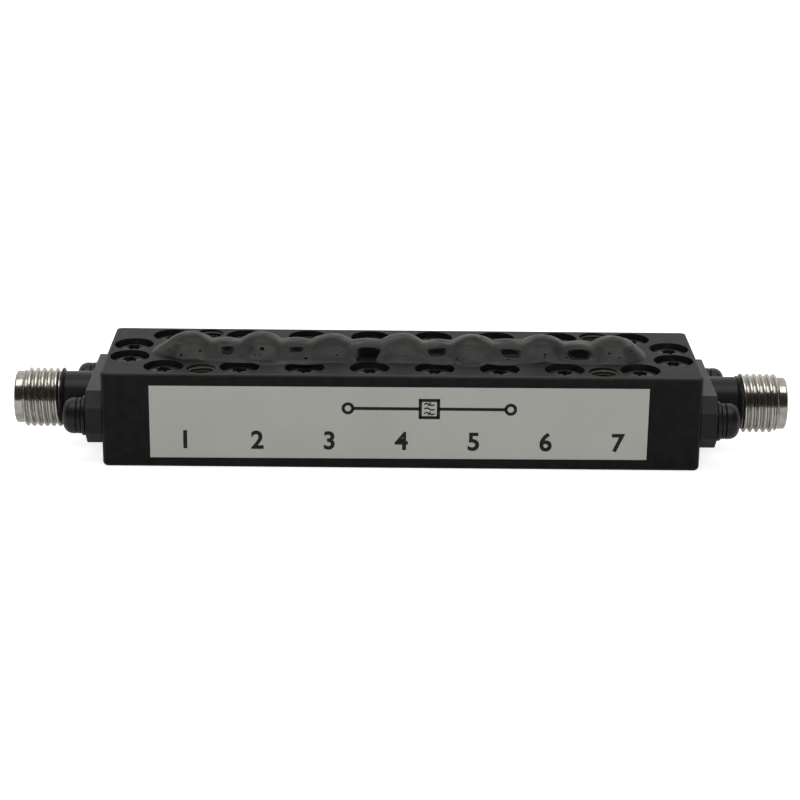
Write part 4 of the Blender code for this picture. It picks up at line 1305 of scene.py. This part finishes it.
def wave_points(x, z, half, tall, count=14):
    return [(x + half * (2 * i / count - 1), z + tall * sin(2 * pi * i / count))
            for i in range(count + 1)]


def filter_symbol(bm):
    """Two jacks, a line between them, and a box with three waves, the outer two struck out."""
    z = SYMBOL_MIDDLE
    middle = (SYMBOL_LEFT + SYMBOL_RIGHT) / 2
    for port, sign in ((SYMBOL_LEFT, 1), (SYMBOL_RIGHT, -1)):
        ink_stroke(bm, circle_points(port, z, PORT_RADIUS))
        ink_stroke(bm, [(port + sign * PORT_RADIUS, z), (middle - sign * BOX_HALF, z)])
    for sign in (-1, 1):
        side = BOX_HALF + STROKE / 2
        edge = z + sign * BOX_HALF
        ink_stroke(bm, [(middle - side, edge), (middle + side, edge)])
        edge = middle + sign * BOX_HALF
        ink_stroke(bm, [(edge, z - BOX_HALF), (edge, z + BOX_HALF)])
        wave_z = z + sign * 0.5
        ink_stroke(bm, [(middle - 0.15, wave_z - 0.22), (middle + 0.15, wave_z + 0.22)], STRIKE_STROKE)
    for wave_z in (z - 0.5, z, z + 0.5):
        ink_stroke(bm, wave_points(middle, wave_z, 0.55, 0.1), WAVE_STROKE)


def digit_mesh(text):
    """A number as a thin solid, with its foot's middle at the origin, standing along Z."""
    curve = bpy.data.curves.new("digit", "FONT")
    curve.body = text
    curve.align_x = "CENTER"
    curve.size = DIGIT_HEIGHT * MM * FONT_SIZE
    curve.offset = 0.075 * MM
    curve.extrude = INK_THICKNESS / 2 + 0.01 * MM
    curve.resolution_u = 6
    mesh = frozen(stand_in(curve))
    mesh.transform(Matrix.Rotation(pi / 2, 4, "X"))
    return mesh


def print_mesh():
    bm = bmesh.new()
    filter_symbol(bm)
    for number, place in enumerate(tuning_places, start=1):
        mesh = digit_mesh(str(number))
        mesh.transform(Matrix.Translation((place.x, LABEL_FACE + 0.01 * MM - INK_THICKNESS / 2,
                                           DIGIT_LINE * MM)))
        bm.from_mesh(mesh)
    bmesh.ops.remove_doubles(bm, verts=bm.verts, dist=0.0005 * MM)
    bmesh.ops.recalc_face_normals(bm, faces=bm.faces)
    return written(bm, "label_print")


ink = clouded_material("ink", ((0.008, 0.008, 0.008), (0.02, 0.02, 0.019)), (0.4, 0.55), 5.0, 2.0,
                       specular=0.12)[0]
finish_piece("label_print", print_mesh(), [], ink)

# %% [markdown]
# The four mounting holes are tapped. A tapped hole shows as fine ribs on its wall, bright where a
# screw has rubbed the paint off. Geometry Nodes sweep a three-sided section along a spiral, which
# is the thread's rib, and set one in each hole.

# %% Geometry Nodes: the ribs of a tapped hole
TAP_PITCH = 0.35 * MM
RIB_HEIGHT = 0.17 * MM
RIB_CLEAR = 0.3 * MM  # how far below the lid's top the ribs start
RIB_SINK = 0.02 * MM


def tapped_rib_tree():
    tree, inside, out = new_group(
        "tapped_ribs",
        {"Places": "Geometry", "Radius": "Float", "Rib": "Float", "Turns": "Float", "Length": "Float",
         "Material": "Material"},
        {"Ribs": "Geometry"}, "GeometryNodeTree")
    spiral = put(tree, "GeometryNodeCurveSpiral", Resolution=40, Rotations=inside["Turns"],
                 Start_Radius=inside["Radius"], End_Radius=inside["Radius"], Height=inside["Length"])
    section = put(tree, "GeometryNodeCurvePrimitiveCircle", Resolution=3, Radius=inside["Rib"])
    swept = put(tree, "GeometryNodeCurveToMesh", Curve=spiral.outputs[0],
                Profile_Curve=section.outputs[0], Fill_Caps=True)
    spread = put(tree, "GeometryNodeInstanceOnPoints", Points=inside["Places"],
                 Instance=swept.outputs[0])
    wire(out, Ribs=dressed(tree, spread.outputs[0], inside["Material"]))
    return tree


def rib_material():
    """Black paint with brassy flecks where the ribs are rubbed."""
    material, shader, bare = clouded_material(
        "tapped_ribs", ((0.05, 0.049, 0.038), (0.36, 0.34, 0.26)), (0.55, 0.35), 6.0, 4.0,
        share=lambda flecks, place: ramp(flecks, 0.62, 0.74))
    wire(shader, Metallic=maths("MULTIPLY", bare, 0.4))
    return material


def make_ribs():
    points = bpy.data.meshes.new("rib_places")
    points.from_pydata([(x, y, RIB_CLEAR) for x, y in mount_places], [], [])
    length = LID_TOP - 2 * RIB_CLEAR
    finish = rib_material()
    mesh = grown(points, tapped_rib_tree(), Radius=MOUNT_HOLE_RADIUS - RIB_SINK, Rib=RIB_HEIGHT,
                 Length=length, Turns=length / TAP_PITCH, Material=finish)
    finish_piece("mount_hole_ribs", mesh, [], finish)


make_ribs()

# %% [markdown]
# The tuning screws and their nuts are sealed in, so their plain solids are right as they are. They
# still get a turned brass, because a model that is taken apart shows them.

# %% Brass for what is sealed in
sealed_in = [node for name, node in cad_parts.items()
             if name.startswith(("tuning_screw", "tuning_nut", "coupling_screw", "coupling_nut"))]
for node in sealed_in:
    node.data.materials.clear()
    node.data.materials.append(brass)
print("brass on", len(sealed_in), "nodes")

# %% [markdown]
# The floor looks white to the camera and keeps a faint shadow. The steel mirrors it as a pale
# tone, and the light that it throws back on the paint is that of a mid grey. The Light Path node
# tells these rays apart, so one material can be all three.

# %% Floor
FLOOR_HALF = 3.0
FLOOR_GREY = (0.3, 0.3, 0.3)  # what it throws back on the object as diffuse light
FLOOR_PALE = (0.6, 0.6, 0.6)
GLOW = 0.12  # emission that a camera and a mirror both see, which leaves the shadow faint
CAMERA_GLOW = 0.64  # and what the camera sees on top of it, up to white


def make_floor():
    bm = bmesh.new()
    bmesh.ops.create_grid(bm, x_segments=1, y_segments=1, size=FLOOR_HALF)
    floor = stand_in(mesh_of(bm, "floor"))
    material = bpy.data.materials.new("floor")
    material.use_nodes = True
    tree = material.node_tree
    tree.nodes.clear()
    path = tree.nodes.new("ShaderNodeLightPath").outputs
    direct = maths("MAXIMUM", path["Is Camera Ray"], path["Is Transmission Ray"])
    seen = maths("MAXIMUM", direct, path["Is Glossy Ray"])
    strength = maths("MULTIPLY_ADD", direct, CAMERA_GLOW, GLOW)
    grey, pale = [put(tree, "ShaderNodeBsdfDiffuse", Color=(*tone, 1.0)).outputs[0]
                  for tone in (FLOOR_GREY, FLOOR_PALE)]
    glow = put(tree, "ShaderNodeEmission", Color=(1.0, 1.0, 1.0, 1.0), Strength=strength)
    white = put(tree, "ShaderNodeAddShader", _0=pale, _1=glow.outputs[0])
    mix = put(tree, "ShaderNodeMixShader", _0=seen, _1=grey, _2=white.outputs[0])
    put(tree, "ShaderNodeOutputMaterial", Surface=mix.outputs[0])
    floor.data.materials.append(material)


make_floor()
print("floor:", 2 * FLOOR_HALF, "m square")

# %% [markdown]
# The photograph's light comes from a large soft box overhead and from something bright behind. The
# one puts the bright band on the upper third of the steel. The other lies in the lid's low-angle
# reflection and makes the black paint look grey. The room in front is dark. Two fills light the
# label and the back face, and no reflection shows them.

# %% Lights and world
def soft_box(name, place, size, power):
    """A rectangular light that aims at the origin."""
    light = bpy.data.lights.new(name, "AREA")
    light.shape = "RECTANGLE"
    light.size, light.size_y = size
    light.energy = power
    ob = add_object(name, light)
    ob.location = place
    ob.rotation_euler = (-Vector(place)).to_track_quat("-Z", "Y").to_euler()
    ob.visible_camera = False
    return ob


overhead = soft_box("overhead", (0.0, -0.04, 0.42), (0.5, 0.24), 0.9)
fill = soft_box("fill", (0.0, -0.7, 0.3), (0.8, 0.5), 4.4)
rear_fill = soft_box("rear_fill", (0.0, 0.7, 0.3), (0.8, 0.5), 3.0)
for lamp in (fill, rear_fill):
    lamp.visible_glossy = False

FRONT_ROOM = (0.045, 0.041, 0.035)
BACK_ROOM = (0.8, 0.79, 0.76)


def make_world():
    """Dark towards the front, pale behind and white to the camera."""
    world = bpy.data.worlds.new("studio")
    bpy.context.scene.world = world
    world.use_nodes = True
    tree = world.node_tree
    backward = split(tree.nodes.new("ShaderNodeTexCoord").outputs["Generated"])[1]
    room = blend_colours(ramp(backward, 0.05, 0.4), FRONT_ROOM, BACK_ROOM)
    seen = tree.nodes.new("ShaderNodeLightPath").outputs["Is Camera Ray"]
    wire(tree.nodes["Background"], Color=blend_colours(seen, room, (1.0, 1.0, 1.0)))


make_world()
bpy.context.scene.view_settings.view_transform = "Standard"
print("lights:", overhead.name, fill.name, rear_fill.name)
